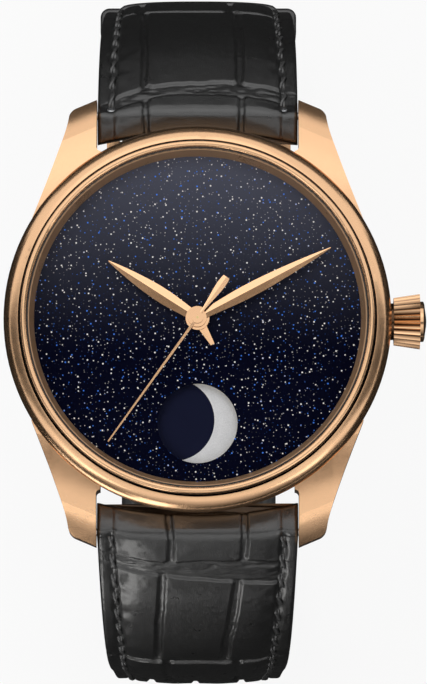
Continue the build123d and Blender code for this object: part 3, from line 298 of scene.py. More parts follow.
def striped_plate():
    shader = Shader("nickel_striped")
    saw = {"wave_type": "BANDS", "bands_direction": "DIAGONAL", "wave_profile": "SAW"}
    band = shader.node("TexWave", saw, Vector=shader.place(), Scale=150.0, Distortion=0.0, Detail=0.0)
    grain = shader.noise(3000, 2, 0.6, (1, 0.2, 1))
    shader.set(Base_Color=shader.mix(band * 0.7 + grain * 0.3, (0.50, 0.50, 0.49), (0.80, 0.80, 0.78)))
    shader.set(Metallic=1.0).rough(grain, 0.22, 0.38)
    return shader.bump(band, 0.25, 0.00004)


steel = plain_metal("steel_polished", (0.70, 0.71, 0.73), 0.22, 2600, (1, 8, 1))
gilt = plain_metal("brass_gilt", (0.88, 0.66, 0.30), 0.28)
blued = plain_metal("steel_blued", (0.05, 0.10, 0.42), 0.20)
nickel = striped_plate()
print("metals of the works:", ", ".join(metal.material.name for metal in (steel, gilt, blued, nickel)))

# %% [markdown]
# ## Rubber, ruby and glass
# The seals are black rubber. The jewels are synthetic ruby, which scatters light inside, so a bright
# red with a clear coat is enough at this size. The two glasses are sapphire with a coating against
# reflections: almost fully clear, with a faint gloss that grows toward the rim of the dome.

# %% Seal, ruby and sapphire
def seal_rubber():
    shader = Shader("seal_rubber")
    cloud = shader.noise(1500, 3)
    shader.set(Base_Color=shader.mix(cloud, (0.012, 0.012, 0.012), (0.03, 0.03, 0.03)))
    shader.rough(cloud, 0.45, 0.65)
    return shader.bump(cloud, 0.2, 0.00003)


def ruby():
    shader = Shader("ruby")
    cloud = shader.noise(1200, 2)
    shader.set(Base_Color=shader.mix(cloud, (0.42, 0.008, 0.05), (0.62, 0.02, 0.09)), Roughness=0.08)
    return shader.set(Coat_Weight=0.6)


def sapphire():
    shader = Shader("sapphire")
    smudge = shader.noise(90, 3)
    shader.set(Base_Color=(1, 1, 1), Metallic=1.0).rough(smudge, 0.01, 0.03)
    clear = shader.node("BsdfTransparent", Color=(1, 1, 1))
    facing = shader.node("LayerWeight", Blend=0.12)
    gloss = Value(shader, shader.surface.outputs[0])
    seen = shader.spread(facing, 0.01, 1.0, 0.0, 0.5)
    return shader.ends_in(shader.node("MixShader", i0=seen, i1=clear, i2=gloss))


rubber = seal_rubber()
ruby_red = ruby()
clear_glass = sapphire()
print("glass:", clear_glass.material.name)

# %% [markdown]
# ## Star glass
# The dial is a slice of dark blue glass full of tiny bright flakes, like a night sky. Each flake is a
# point in a random scatter: a flat Voronoi pattern gives every cell one point and one random colour.
# Close to the point the flake shows, and its random colour decides how bright and how blue it is. Three
# layers, from few large flakes to many small ones, keep the sky from looking even. Toward twelve the
# glass is painted greyer: a painted reflection of the soft light that the picture shows lying in it.
#
# The moon is silver under frost: sand scatters the light, so it is bright from every side. The discs
# that hide it are dark lacquer with nothing in it, so they read as a hole in the stars.

# %% Star glass, dark lacquer and frosted silver
STAR_LAYERS = (
    # cells to a metre, radius of a flake, how rare a bright one is, brightness
    (700, 0.095 * MM, 1.2, 5.0),
    (1250, 0.075 * MM, 3.2, 3.4),
    (2300, 0.055 * MM, 5.0, 1.2),
)
PAINTED_SHEEN_START, PAINTED_SHEEN_END = -4 * MM, 18 * MM


def flakes(shader, cells, size, rarity):
    """How strongly a flake shows, and the random number of its cell."""
    spot = shader.node("TexVoronoi", {"voronoi_dimensions": "2D", "feature": "F1"}, Vector=shader.place(),
                       Scale=cells, Randomness=1.0)
    chance = shader.node("SeparateColor", Color=spot.beside(1))
    reach = size * cells
    near = shader.spread(spot, reach * 0.45, reach, 1.0, 0.0)
    return near * (chance ** rarity), chance.beside(2)


def clouded(shader, deep):
    return shader.mix(shader.noise(120, 3), deep, tuple(1.7 * c for c in deep))


def star_glass(name, deep, sheen_colour):
    shader = Shader(name)
    _, y, _ = shader.axes()
    # Painted reflection: the glass is painted greyer toward twelve, where a soft light lies in it.
    painted_sheen = shader.spread(y, PAINTED_SHEEN_START, PAINTED_SHEEN_END) ** 1.6
    colour = shader.mix(painted_sheen, clouded(shader, deep), sheen_colour)
    for cells, size, rarity, bright in STAR_LAYERS:
        show, hue = flakes(shader, cells, size, rarity)
        blue = shader.spread(hue, 0.58, 0.68)
        star = shader.mix(blue, (0.95, 0.92, 0.90), (0.07, 0.24, 0.90))
        colour = shader.mix(shader.spread(show, 0.0, 1.0 / bright), colour, star)
    return shader.set(Base_Color=colour, Roughness=0.12, Specular_IOR_Level=0.0)


def dark_lacquer(name, deep):
    shader = Shader(name)
    return shader.set(Base_Color=clouded(shader, deep), Roughness=0.12, Specular_IOR_Level=0.0)


def frosted_silver():
    shader = Shader("silver_frosted")
    sand = shader.noise(9000, 2, 0.7)
    cloud = shader.noise(900, 2)
    shade = shader.mix(sand * 0.75 + cloud * 0.25, (0.55, 0.55, 0.56), (0.98, 0.98, 0.99))
    shader.set(Base_Color=shade, Metallic=0.10).rough(sand, 0.45, 0.7)
    return shader.bump(sand, 0.6, 0.00006)


# The last colour is the grey of the painted reflection toward twelve.
star_dial = star_glass("star_glass", (0.0018, 0.0022, 0.0085), (0.098, 0.104, 0.140))
night_disc = dark_lacquer("night_disc", (0.0080, 0.0095, 0.0240))
moon_silver = frosted_silver()
print("layers of stars:", len(STAR_LAYERS))

# %% [markdown]
# ## Dressing the CAD pieces
# A CAD piece whose shape is already right only needs its finish. The record gives each piece a material
# slot, so one table from slot to finish dresses them all, and a few pieces then get their own.

# %% A finish for every CAD piece
FINISHES = {
    "rose_gold": polished_gold,
    "polished_steel": steel,
    "gilt_brass": gilt,
    "sapphire": clear_glass,
    "seal": rubber,
    "flange": flange_gold,
    "star_glass": star_dial,
    "moon_silver": moon_silver,
    "night_blue": night_disc,
    "blued_steel": blued,
    "plate_nickel": nickel,
    "ruby": ruby_red,
    "strap_leather": rubber,
}


def dress(obj, shader):
    if not obj.material_slots:
        obj.data.materials.append(shader.material)
    for slot in obj.material_slots:
        slot.link = "OBJECT"
        slot.material = shader.material


for part in frame["record"]["subparts"]:
    dress(nodes[part["node"]], FINISHES[part["material_slot"]])
dress(nodes["case_middle"], case_gold)
dress(nodes["bezel"], groove_shaded_gold)
dress(nodes["crown"], fluted_gold)

# %% [markdown]
# ## Leather and thread
# The strap is black leather with a soft gloss. Near black still needs detail: pores and fine wrinkles in
# the bump, and a gloss that changes from spot to spot under a clear finish. The thread is waxed, and a
# little greyer than the leather round it.

# %% Black leather, its lining and the thread
def black_leather(name, deep, light, gloss, pore):
    shader = Shader(name)
    pores = shader.node("TexVoronoi", {"feature": "DISTANCE_TO_EDGE"}, Vector=shader.place(), Scale=pore)
    grain = shader.noise(2600, 4, 0.62)
    cloud = shader.noise(420, 3)
    shader.set(Base_Color=shader.mix(grain * 0.5 + cloud * 0.5, (deep,) * 3, (light,) * 3))
    shader.rough(cloud * 0.6 + grain * 0.4, gloss * 0.85, gloss * 1.25)
    shader.set(Specular_IOR_Level=0.7, Coat_Weight=1.0, Coat_Roughness=0.20, Coat_IOR=1.55)
    return shader.bump(shader.spread(pores, 0.0, 0.25) * 0.45 + grain * 0.55, 0.6, 0.00006)


leather = black_leather("leather_scaled", 0.003, 0.008, 0.30, 5200)
lining_leather = black_leather("leather_lining", 0.006, 0.016, 0.55, 3800)
keeper_leather = black_leather("leather_keeper", 0.004, 0.010, 0.40, 6000)
thread = black_leather("thread_waxed", 0.02, 0.06, 0.36, 9000)
leathers = (leather, lining_leather, keeper_leather, thread)
print("leathers and thread:", ", ".join(item.material.name for item in leathers))

# %% [markdown]
# ## The leather strap
# A padded strap is a core with two leathers over it, sewn near the edges. The outer leather here has
# square scales: raised plates with soft edges, deep creases between them, and wrinkled bands where the
# skin folded. A mesh in code can hold all of it, because every point has two plain numbers: how far
# across the strap it lies and how far along. They give a height, and the point is then put on the
# path of the CAD strap, in mm from the bar.

# %% The path of a strap half
UPPER, LOWER = 1, -1
LEAVE = {UPPER: math.radians(33.2), LOWER: math.radians(36.5)}
LENGTH = {UPPER: 64.0, LOWER: 100.0}
SIDE_RADIUS, FOOT_RADIUS, DROP = 33.07, 16.0, 54.3894
LUG_HALF, END_HALF, WIDTH_TAPER = 10.93, 9.0, 56.0
LUG_THICK, END_THICK, PAD_TAPER = 1.9, 1.15, 46.0
NOSE_TURN, NOSE_SLOPE, NOSE_REACH = 1.4, 0.18, 4.0
TIP_RADIUS, TIP_SLACK = 9.0, 0.02
HOLLOW_RADIUS, HOLLOW_CENTRE = 42.0, 43.75
THIN_FROM, THIN_TO, THINNER_BY = 30.0, 52.0, 0.72


def strap_path(travel, side):
    """Distance out from the bar, height above it and heading, at lengths along a strap half."""
    leave = LEAVE[side]
    straight = DROP - SIDE_RADIUS * math.cos(leave) - FOOT_RADIUS
    first = SIDE_RADIUS * (math.pi / 2 - leave)
    second = first + straight
    third = second + FOOT_RADIUS * math.pi / 2
    arc = leave + np.clip(travel, 0, first) / SIDE_RADIUS
    bend = np.clip(travel - second, 0, third - second) / FOOT_RADIUS
    out = SIDE_RADIUS * (np.sin(arc) - math.sin(leave))
    out = out - FOOT_RADIUS * (1 - np.cos(bend)) - np.maximum(travel - third, 0)
    high = SIDE_RADIUS * (np.cos(arc) - math.cos(leave)) - np.clip(travel - first, 0, straight)
    high = high - FOOT_RADIUS * np.sin(bend)
    heading = arc + bend + np.clip(travel, -NOSE_TURN, 0) / LUG_THICK
    beyond = np.minimum(travel + NOSE_TURN, 0)
    return out + beyond * np.cos(heading), high - beyond * np.sin(heading), heading


def placed(across, travel, up, side):
    """Points of the world, in metres, from a strap half's own numbers in mm."""
    out, high, heading = strap_path(travel, side)
    y = side * (BAR_Y / MM + out + up * np.sin(heading))
    z = BAR_Z / MM + high + up * np.cos(heading)
    return np.stack(np.broadcast_arrays(across, y, z), axis=-1) * MM


def half_width(travel, side):
    share = np.clip(travel / WIDTH_TAPER, 0, 1) ** (2 if side > 0 else 1)
    return LUG_HALF + (END_HALF - LUG_HALF) * share


def tip_half_width(travel, side):
    """The half width with the round tip of the long half cut."""
    past = np.clip(travel - LENGTH[side] + TIP_RADIUS, 0, TIP_RADIUS)
    tip = np.sqrt(TIP_RADIUS**2 - past**2) + TIP_SLACK
    return np.where((past > 0) & (side < 0), tip, half_width(travel, side))


def edge_distance(across, travel, side):
    """How far a point lies inside the strap's outline."""
    past = np.maximum(travel - LENGTH[side] + TIP_RADIUS, 0)
    straight = half_width(travel, side) - np.abs(across)
    return np.where((past > 0) & (side < 0), TIP_RADIUS - np.hypot(across, past), straight)


def half_thickness(travel):
    thick = LUG_THICK + (END_THICK - LUG_THICK) * np.clip(travel / PAD_TAPER, 0, 1)
    return thick - NOSE_SLOPE * np.clip(-NOSE_TURN - travel, 0, NOSE_REACH)


def hollow_end(across):
    """Where the end that faces the case lies: it is hollow, to follow the round case."""
    return np.sqrt(HOLLOW_RADIUS**2 - across**2) - HOLLOW_CENTRE - NOSE_TURN


# %% [markdown]
# Skin is never regular, so the creases wander and the bands wrinkle. The wandering comes from a value
# noise: every corner of a grid has a fixed number worked out from its place, and points between blend
# their four corners. It needs no random state, so each run makes the same strap.

# %% A noise that is the same each run
def ease(value, low, high):
    share = np.clip((value - low) / (high - low), 0, 1)
    return share * share * (3 - 2 * share)


def lattice(column, row, seed):
    mixed = (column * 374761393 + row * 668265263 + seed * 974634777) & 0xFFFFFFFF
    mixed = ((mixed ^ (mixed >> 13)) * 1274126177) & 0xFFFFFFFF
    return ((mixed ^ (mixed >> 16)) & 0xFFFF) / 65535.0


def ripple(x, y, seed):
    """A smooth noise between -1 and 1, with a new random value at each whole x and y."""
    x, y = np.broadcast_arrays(x, y)
    column, row = np.floor(x).astype(np.int64), np.floor(y).astype(np.int64)
    u, v = ease(x - column, 0, 1), ease(y - row, 0, 1)
    low = lattice(column, row, seed) * (1 - u) + lattice(column + 1, row, seed) * u
    high = lattice(column, row + 1, seed) * (1 - u) + lattice(column + 1, row + 1, seed) * u
    return (low * (1 - v) + high * v) * 2 - 1


def padding(travel):
    """How much padding is left along a strap half: all by the case, little toward its end."""
    return 1 - THINNER_BY * ease(travel, THIN_FROM, THIN_TO)


# %% [markdown]
# The scales are laid out where the picture shows them: bands across the strap, and in each row
# between two bands a few creases along it. A band is (place along, bow on the left, bow on the right,
# half width left, half width right), and a crease is (place across, lean, half width).

# %% Where the bands and creases run
BANDS = {
    UPPER: [(2.4, -0.02, -0.006, 0.75, 0.95), (19.2, 0.012, 0.006, 0.3, 0.34),
            (34.5, 0.01, 0.0, 0.5, 0.4), (45.0, 0.0, 0.006, 0.4, 0.4),
            (53.5, 0.004, 0.0, 0.35, 0.4), (60.0, 0.0, 0.0, 0.3, 0.3)],
    LOWER: [(3.75, -0.012, 0.01, 0.75, 1.35), (20.7, 0.004, 0.008, 0.42, 0.36),
            (35.0, 0.0, 0.01, 0.5, 0.4), (46.0, 0.008, 0.0, 0.4, 0.45),
            (55.5, 0.0, 0.0, 0.4, 0.35), (64.0, 0.0, 0.005, 0.35, 0.35),
            (71.5, 0.004, 0.0, 0.3, 0.35), (78.5, 0.0, 0.0, 0.3, 0.3),
            (85.5, 0.003, 0.0, 0.3, 0.3), (92.0, 0.0, 0.003, 0.3, 0.3)],
}
CREASES = {
    UPPER: [[(-5.6, 0.0, 0.24), (4.75, 0.0, 0.26)], [(-5.95, 0.004, 0.27), (4.5, -0.006, 0.36)],
            [(-6.3, 0.03, 0.3), (3.5, 0.02, 0.3)], [(-5.2, 0.0, 0.3), (0.6, 0.02, 0.28), (5.4, 0.0, 0.3)],
            [(-4.6, 0.0, 0.28), (0.2, 0.0, 0.28), (4.9, 0.0, 0.28)],
            [(-3.9, 0.0, 0.26), (1.0, 0.0, 0.26), (4.7, 0.0, 0.26)], [(-2.0, 0.0, 0.2), (2.4, 0.0, 0.2)]],
    LOWER: [[(-3.0, 0.01, 0.28), (5.05, -0.02, 0.3)], [(-4.2, -0.035, 0.30), (3.65, -0.095, 0.40)],
            [(-3.3, 0.02, 0.3), (4.3, 0.0, 0.3)], [(-5.3, 0.0, 0.3), (-0.4, 0.03, 0.28), (4.8, 0.0, 0.3)],
            [(-4.4, 0.0, 0.3), (0.5, 0.0, 0.28), (5.2, 0.0, 0.28)],
            [(-4.9, 0.0, 0.28), (-0.9, 0.0, 0.26), (3.6, 0.0, 0.28)],
            [(-3.8, 0.0, 0.26), (0.8, 0.0, 0.26), (4.8, 0.0, 0.26)],
            [(-4.5, 0.0, 0.25), (-0.6, 0.0, 0.25), (3.9, 0.0, 0.25)],
            [(-3.4, 0.0, 0.24), (1.0, 0.0, 0.24), (4.6, 0.0, 0.24)],
            [(-4.0, 0.0, 0.22), (0.2, 0.0, 0.22), (4.1, 0.0, 0.22)], [(-2.0, 0.0, 0.2), (2.2, 0.0, 0.2)]],
}
FAR, ROW_OVERLAP, CORNER_BLEND = 9.0, 0.6, 1.6
print("bands:", len(BANDS[UPPER]), "and", len(BANDS[LOWER]))


def crease_distance(across, travel, side):
    """How far each point is from the nearest crease, and how deep it lies in a wrinkled band."""
    wander = 0.20 * ripple(across / 3.1, travel / 3.1, 5) + 0.06 * ripple(across / 0.8, travel / 0.8, 6)
    nearest = np.full(across.shape, FAR)
    inside = np.zeros(across.shape)
    for place, left, right, wide_left, wide_right in BANDS[side]:
        middle = place + np.where(across < 0, left, right) * across**2 + wander
        half = wide_left + (wide_right - wide_left) * ease(across, -6, 6)
        gap = np.abs(travel - middle) - half
        nearest = np.minimum(nearest, gap)
        inside = np.maximum(inside, ease(-gap, -0.1, 0.25) * ease(half, 0.45, 0.7))
    ends = [-FAR] + [band[0] for band in BANDS[side]] + [LENGTH[side] + FAR]
    for row, creases in enumerate(CREASES[side]):
        start, end = max(ends[row], -4.0), min(ends[row + 1], LENGTH[side])
        in_row = (travel >= ends[row] - ROW_OVERLAP) & (travel < ends[row + 1] + ROW_OVERLAP)
        for place, lean, half in creases:
            middle = place + lean * (travel - (start + end) / 2) + wander * 0.7
            gap = np.where(in_row, np.abs(across - middle) - half, FAR)
            blend = np.clip(0.5 + (nearest - gap) / CORNER_BLEND, 0, 1)
            nearest = nearest * (1 - blend) + gap * blend - 0.4 * blend * (1 - blend)
    return nearest, inside


# %% [markdown]
# The height of the skin over the strap's flat top adds up what the leather does: it falls from the
# padded middle to the flat rim, sinks under each stitch and into the creases, rises a little in the
# middle of each scale, and rounds off at the edges.

# %% The height of the skin
SEAM_INSET = 1.55
STITCH_PITCH = 2.8
FIRST_STITCH = {UPPER: 0.4, LOWER: -0.7}
EDGE_ROUND, END_ROUND = 0.42, 0.5
DOME_DROP, RIM_DROP = 1.07, 1.12
DOME_POWER, DOME_ROOT = 2.5, 0.4
CREASE_DEPTH, SCALE_RISE, BAND_RISE = 0.36, 0.05, 0.10


def seam_inset(travel):
    return SEAM_INSET + 0.3 * ease(travel, 0, 20)


def rounded(distance, radius):
    """The drop at a distance inside an edge that is rounded to a radius."""
    past = np.clip(radius - distance, 0, radius)
    return radius - np.sqrt(radius**2 - past**2 + 1e-9)


def hump(distance, half):
    return np.exp(-((distance / half) ** 2))


def dome_height(inset, seam, travel, side):
    """The fall from the padded middle to the flat rim outside the seam."""
    share = np.clip(1 - (inset - seam - 0.25) / (half_width(travel, side) - seam - 0.25), 0, 1)
    fullness = padding(travel) * (0.28 + 0.72 * ease(travel, -2.6, 1.6))
    dome = -DOME_DROP * fullness * (1 - (1 - share**DOME_POWER + 1e-6) ** DOME_ROOT)
    rim = ease(seam - inset, -0.25, 0.25)
    return dome * (1 - rim) - RIM_DROP * fullness * rim


def seam_pull(inset, seam, travel, side):
    """The groove of the seam, deepest where each stitch goes through."""
    pull = 0.5 + 0.5 * np.cos((travel - FIRST_STITCH[side]) * 2 * math.pi / STITCH_PITCH)
    groove = (0.12 + 0.14 * pull) * hump(inset - seam, 0.42)
    return ease(travel, -1.8, 0.0) * (groove + 0.08 * pull * hump(inset - seam - 1.0, 0.6))


def scale_height(across, travel, side, plate):
    """Creases, the raised middles of the scales, and the wrinkles of the bands and of the whole skin."""
    far, inside = crease_distance(across, travel, side)
    cut = 1 - ease(far, -0.14, 0.24)
    height = SCALE_RISE * ease(far, 0.1, 2.4) * plate - CREASE_DEPTH * cut * (0.25 + 0.75 * plate)
    swirl = across / 1.9 + 0.8 * ripple(across / 2.5, travel, 11)
    fold = 0.055 * ripple(swirl, travel / 0.30, 7) + 0.03 * ripple(across / 0.8, travel / 0.26, 8)
    height = height + inside * (BAND_RISE + fold) * (0.3 + 0.7 * plate)
    height = height + cut * (1 - inside) * 0.028 * ripple(across / 0.3, travel / 0.5, 9)
    return height + 0.010 * ripple(across / 0.55, travel / 0.55, 10)


def skin_height(across, travel, side):
    inset = edge_distance(across, travel, side)
    seam = seam_inset(travel)
    height = dome_height(inset, seam, travel, side) - seam_pull(inset, seam, travel, side)
    height = height + scale_height(across, travel, side, ease(inset - seam, 0.0, 0.7))
    return height - rounded(inset, EDGE_ROUND) - rounded(travel - hollow_end(across), END_ROUND)


sample = skin_height(np.array([0.0, 10.4]), np.array([10.0, 10.0]), UPPER)
print("the skin at a scale's middle and at the rim:", sample.round(2), "mm")

# %% [markdown]
# One closed skin makes a strap half: the worked outer face, the rounded edges and a plain underside.
# Each ring of points runs once round the strap, and quads join each ring to the next. The sole of the
# long half lies on the table, so no scale of it may reach lower.

# %% From heights to a closed skin
def mesh_object(name, points, faces, shader):
    mesh = bpy.data.meshes.new(name)
    mesh.from_pydata(np.asarray(points).reshape(-1, 3).tolist(), [], faces)
    mesh.update()
    obj = bpy.data.objects.new(name, mesh)
    bpy.context.collection.objects.link(obj)
    mesh.materials.append(shader.material)
    mesh.polygons.foreach_set("use_smooth", [len(face.vertices) < 5 for face in mesh.polygons])
    return obj


def tube_faces(rings, count, outward, capped=True, start=0):
    """Quads between closed rings of points, and a cap at each end."""
    faces = []
    for ring in range(rings - 1):
        low, high = start + ring * count, start + (ring + 1) * count
        for number in range(count):
            after = (number + 1) % count
            faces.append((low + number, low + after, high + after, high + number))
    if capped:
        faces.append(tuple(range(start + count - 1, start - 1, -1)))
        faces.append(tuple(range(start + (rings - 1) * count, start + rings * count)))
    return faces if outward else [face[::-1] for face in faces]


UNDER_COUNT = 13
EDGE_SHARES = (0.25, 0.5, 0.75)
BAR_END, BAR_ROUND = 1.25, 1.3


def under_point(across, travel, lift, side):
    """A point under the strap, straight from the bar to the hollow end, where the path turns sharply."""
    end = hollow_end(across)
    at_bar = placed(across, 0 * travel, lift - half_thickness(0 * travel), side)
    at_end = placed(across, end, lift - half_thickness(end), side)
    along = placed(across, travel, lift - half_thickness(travel), side)
    share = np.clip(travel / end, 0, 1)[:, None]
    return np.where(travel[:, None] < 0, at_bar * (1 - share) + at_end * share, along)


def nose_share(travel, side):
    """The thickness left where the short half rounds over the buckle's bar."""
    past = np.clip(travel - LENGTH[side], 0, BAR_END) / BAR_ROUND
    return np.sqrt(1 - past**2)


def strap_skin(name, side, stations, across_count, shader, lift, flat_top=None, inset=0.0):
    """A closed skin. Its underside is lifted, and its top is worked, or flat over the path if given."""
    shares = np.linspace(-1, 1, across_count)
    under = np.linspace(1, -1, UNDER_COUNT)
    rings = []
    for station in stations:
        half = tip_half_width(np.array(float(station)), side) - inset
        across, below = shares * half, under * half
        if station < 0:
            travel, travel_below = -station * hollow_end(across), -station * hollow_end(below)
        else:
            travel = np.full(across_count, float(station))
            travel_below = np.full(UNDER_COUNT, float(station))
        if flat_top is None:
            top = half_thickness(travel) + skin_height(across, travel, side)
        else:
            top = flat_top - half_thickness(travel)
        keep = nose_share(travel, side)
        upper = placed(across, travel, top * keep, side)
        lower = under_point(below, travel_below, lift, side)
        if station > LENGTH[side]:
            lower = placed(below, travel_below, (lift - half_thickness(travel_below)) * keep[0], side)
        edge_right = [upper[-1] * (1 - s) + lower[0] * s for s in EDGE_SHARES]
        edge_left = [lower[-1] * (1 - s) + upper[0] * s for s in EDGE_SHARES]
        rings.append(np.concatenate([upper, edge_right, lower, edge_left]))
    faces = tube_faces(len(rings), len(rings[0]), side < 0)
    points = np.concatenate(rings)
    points[:, 2] = np.maximum(points[:, 2], 0.0)
    return mesh_object(name, points, faces, shader)


def cut_out(obj, cutter):
    """Take a cutter's shape out of a mesh, and throw the cutter away."""
    modifier = obj.modifiers.new("cut", "BOOLEAN")
    modifier.operation, modifier.object, modifier.solver = "DIFFERENCE", cutter, "EXACT"
    graph = bpy.context.evaluated_depsgraph_get()
    obj.data = bpy.data.meshes.new_from_object(obj.evaluated_get(graph))
    obj.modifiers.clear()
    bpy.data.objects.remove(cutter)


def along_stations(fine, coarse, far, end=()):
    """Places along a strap: below zero, shares of the way to the hollow end, then mm from the bar."""
    hollow = -np.linspace(1, 0, 28, endpoint=False)
    return np.concatenate([hollow, np.arange(0, 30, fine), np.arange(30, far, coarse), end])


def quarter_turn(count):
    return np.sin(np.linspace(0, 1, count) * math.pi / 2)


# %% The two skins and their linings
SKIN_COUNT, SKIN_LIFT, FINE_STEP = 168, 0.35, 0.13
LINING_COUNT, LINING_STEP, LINING_THICK, LINING_INSET = 13, 1.0, 0.5, 0.12
upper_far = LENGTH[UPPER] + BAR_END * quarter_turn(10)
lower_far = LENGTH[LOWER] - TIP_RADIUS + TIP_RADIUS * quarter_turn(60)
upper_stations = along_stations(FINE_STEP, 0.24, LENGTH[UPPER] - 0.1, upper_far)
lower_stations = along_stations(FINE_STEP, 0.31, lower_far[0] - 0.1, lower_far)
upper_skin = strap_skin("strap_upper_skin", UPPER, upper_stations, SKIN_COUNT, leather, SKIN_LIFT)
lower_skin = strap_skin("strap_lower_skin", LOWER, lower_stations, SKIN_COUNT, leather, SKIN_LIFT)


def strap_lining(name, side, far, end=()):
    stations = along_stations(LINING_STEP, LINING_STEP, far, end)
    return strap_skin(name, side, stations, LINING_COUNT, lining_leather, 0.0, LINING_THICK, LINING_INSET)


upper_lining = strap_lining("strap_upper_lining", UPPER, LENGTH[UPPER] - 2.2)
lower_lining = strap_lining("strap_lower_lining", LOWER, lower_far[0] - 0.5, lower_far[:-1])
print("strap skins:", len(upper_skin.data.vertices), "and", len(lower_skin.data.vertices), "points")

# %% [markdown]
# The tongue of the buckle passes through a slot in the end of the short half, which also wraps the
# buckle's bar, and the long half has punched holes. Cutting them out of the finished skin keeps their
# walls straight, as a punch leaves them.

# %% The slot, the bar's loop and the punched holes
SLOT_HALF = 1.15 * MM
HOLE_COUNT, FIRST_HOLE, HOLE_PITCH, HOLE_RADIUS = 6, 3.25 * MM, 6.5 * MM, 0.9 * MM


def cylinder_cutter(centre, axis, radius, half, count=28):
    turn = np.linspace(0, 2 * math.pi, count, endpoint=False)
    rings = []
    for end in (-half, half):
        ring = np.zeros((count, 3)) + np.array(centre)
        others = [k for k in range(3) if k != axis]
        ring[:, others[0]] += radius * np.cos(turn)
        ring[:, others[1]] += radius * np.sin(turn)
        ring[:, axis] += end
        rings.append(ring)
    return mesh_object("cutter", np.concatenate(rings), tube_faces(2, count, axis != 1), leather)


def box_cutter(low, high):
    corners = [(low[0], low[1]), (high[0], low[1]), (high[0], high[1]), (low[0], high[1])]
    points = [(x, y, z) for z in (low[2], high[2]) for x, y in corners]
    return mesh_object("cutter", points, tube_faces(2, 4, True), leather)


bar_at = placed(0.0, LENGTH[UPPER], 0.0, UPPER)
slot_low = (-SLOT_HALF, bar_at[1] - 1.6 * MM, bar_at[2] - 2.6 * MM)
slot_high = (SLOT_HALF, bar_at[1] + 3.2 * MM, bar_at[2] + 3.9 * MM)
cut_out(upper_skin, box_cutter(slot_low, slot_high))
cut_out(upper_lining, box_cutter(slot_low, slot_high))
cut_out(upper_skin, cylinder_cutter(bar_at, 0, 0.8 * MM, 12 * MM))
for number in range(HOLE_COUNT):
    hole_at = (0, FIRST_HOLE - HOLE_PITCH * number, END_THICK * MM)
    cut_out(lower_skin, cylinder_cutter(hole_at, 2, HOLE_RADIUS, 3 * MM))
    cut_out(lower_lining, cylinder_cutter(hole_at, 2, HOLE_RADIUS, 3 * MM))
print("after the cuts:", len(upper_skin.data.vertices), "and", len(lower_skin.data.vertices), "points")

# %% [markdown]
# ## Stitches
# Saddle stitches sit in their own small grooves, each a twisted pair of threads that dives into a hole
# at both ends. They are built as two thin tubes that wind half a turn round each other. The long half is
# stitched round its tip as well.

# %% The rows of stitches
STITCH_HALF = 1.12
STRAND_RADIUS, STRAND_APART, STRAND_LEAN = 0.20, 0.16, 0.13
STRAND_STEPS, STRAND_SIDES = 13, 8
STRAIGHT_END = {UPPER: 4.5, LOWER: TIP_RADIUS}
TIP_ANGLES = np.radians(np.arange(-78, 79, 22.3))


def stitch_places(side):
    """Middle of each stitch across and along the strap, with the direction that it runs in."""
    last = LENGTH[side] - STRAIGHT_END[side]
    count = int((last - FIRST_STITCH[side]) / STITCH_PITCH)
    places = []
    for edge in (-1, 1):
        for number in range(count):
            along = FIRST_STITCH[side] + (number + 0.5) * STITCH_PITCH
            line = half_width(along, side) - seam_inset(along)
            places.append((edge * line, along, 0.0, 1.0))
    if side < 0:
        radius = TIP_RADIUS - seam_inset(LENGTH[side])
        for angle in TIP_ANGLES:
            along = LENGTH[side] - TIP_RADIUS + radius * math.cos(angle)
            places.append((radius * math.sin(angle), along, math.cos(angle), -math.sin(angle)))
    return places


def stitch_rows(name, side, shader):
    points, faces = [], []
    reach = np.linspace(-1, 1, STRAND_STEPS)
    turn = np.linspace(0, 2 * math.pi, STRAND_SIDES, endpoint=False)
    for middle, along, step_across, step_along in stitch_places(side):
        for strand in (0, 1):
            wind = reach * math.pi * 0.55 + strand * math.pi
            aside = STRAND_APART * np.sin(wind) + STRAND_LEAN * reach
            across = middle + step_across * STITCH_HALF * reach + step_along * aside
            travel = along + step_along * STITCH_HALF * reach - step_across * aside
            ground = half_thickness(travel) + skin_height(across, travel, side)
            up = ground + 0.13 + 0.08 * np.cos(wind) - 0.42 * np.abs(reach) ** 5
            radius = STRAND_RADIUS * (1 - 0.35 * reach**4)
            ring_across = across[:, None] + radius[:, None] * np.cos(turn) * abs(step_along)
            ring_travel = travel[:, None] + radius[:, None] * np.cos(turn) * abs(step_across)
            ring_up = up[:, None] + radius[:, None] * np.sin(turn)
            start = sum(len(part) for part in points)
            faces += tube_faces(STRAND_STEPS, STRAND_SIDES, side > 0, True, start)
            points.append(placed(ring_across, ring_travel, ring_up, side).reshape(-1, 3))
    return mesh_object(name, np.concatenate(points), faces, shader)


upper_stitches = stitch_rows("strap_upper_stitches", UPPER, thread)
lower_stitches = stitch_rows("strap_lower_stitches", LOWER, thread)
print("stitches:", len(stitch_places(UPPER)), "and", len(stitch_places(LOWER)))

# %% [markdown]
# ## Keepers
# Two leather loops hold the tail: one is sewn by the buckle and the other slides, so it has more room
# round the strap. Each is a band bent round the strap with soft outer edges and a pressed line along
# them, and its top follows the strap's padding.

# %% The path and the section of a keeper
KEEPER_HALF, KEEPER_WALL, KEEPER_CORNER, KEEPER_ROUND = 2.5, 0.75, 0.3, 0.4
PRESSED_AT, PRESSED_DEPTH, PRESSED_HALF = 1.75, 0.10, 0.13


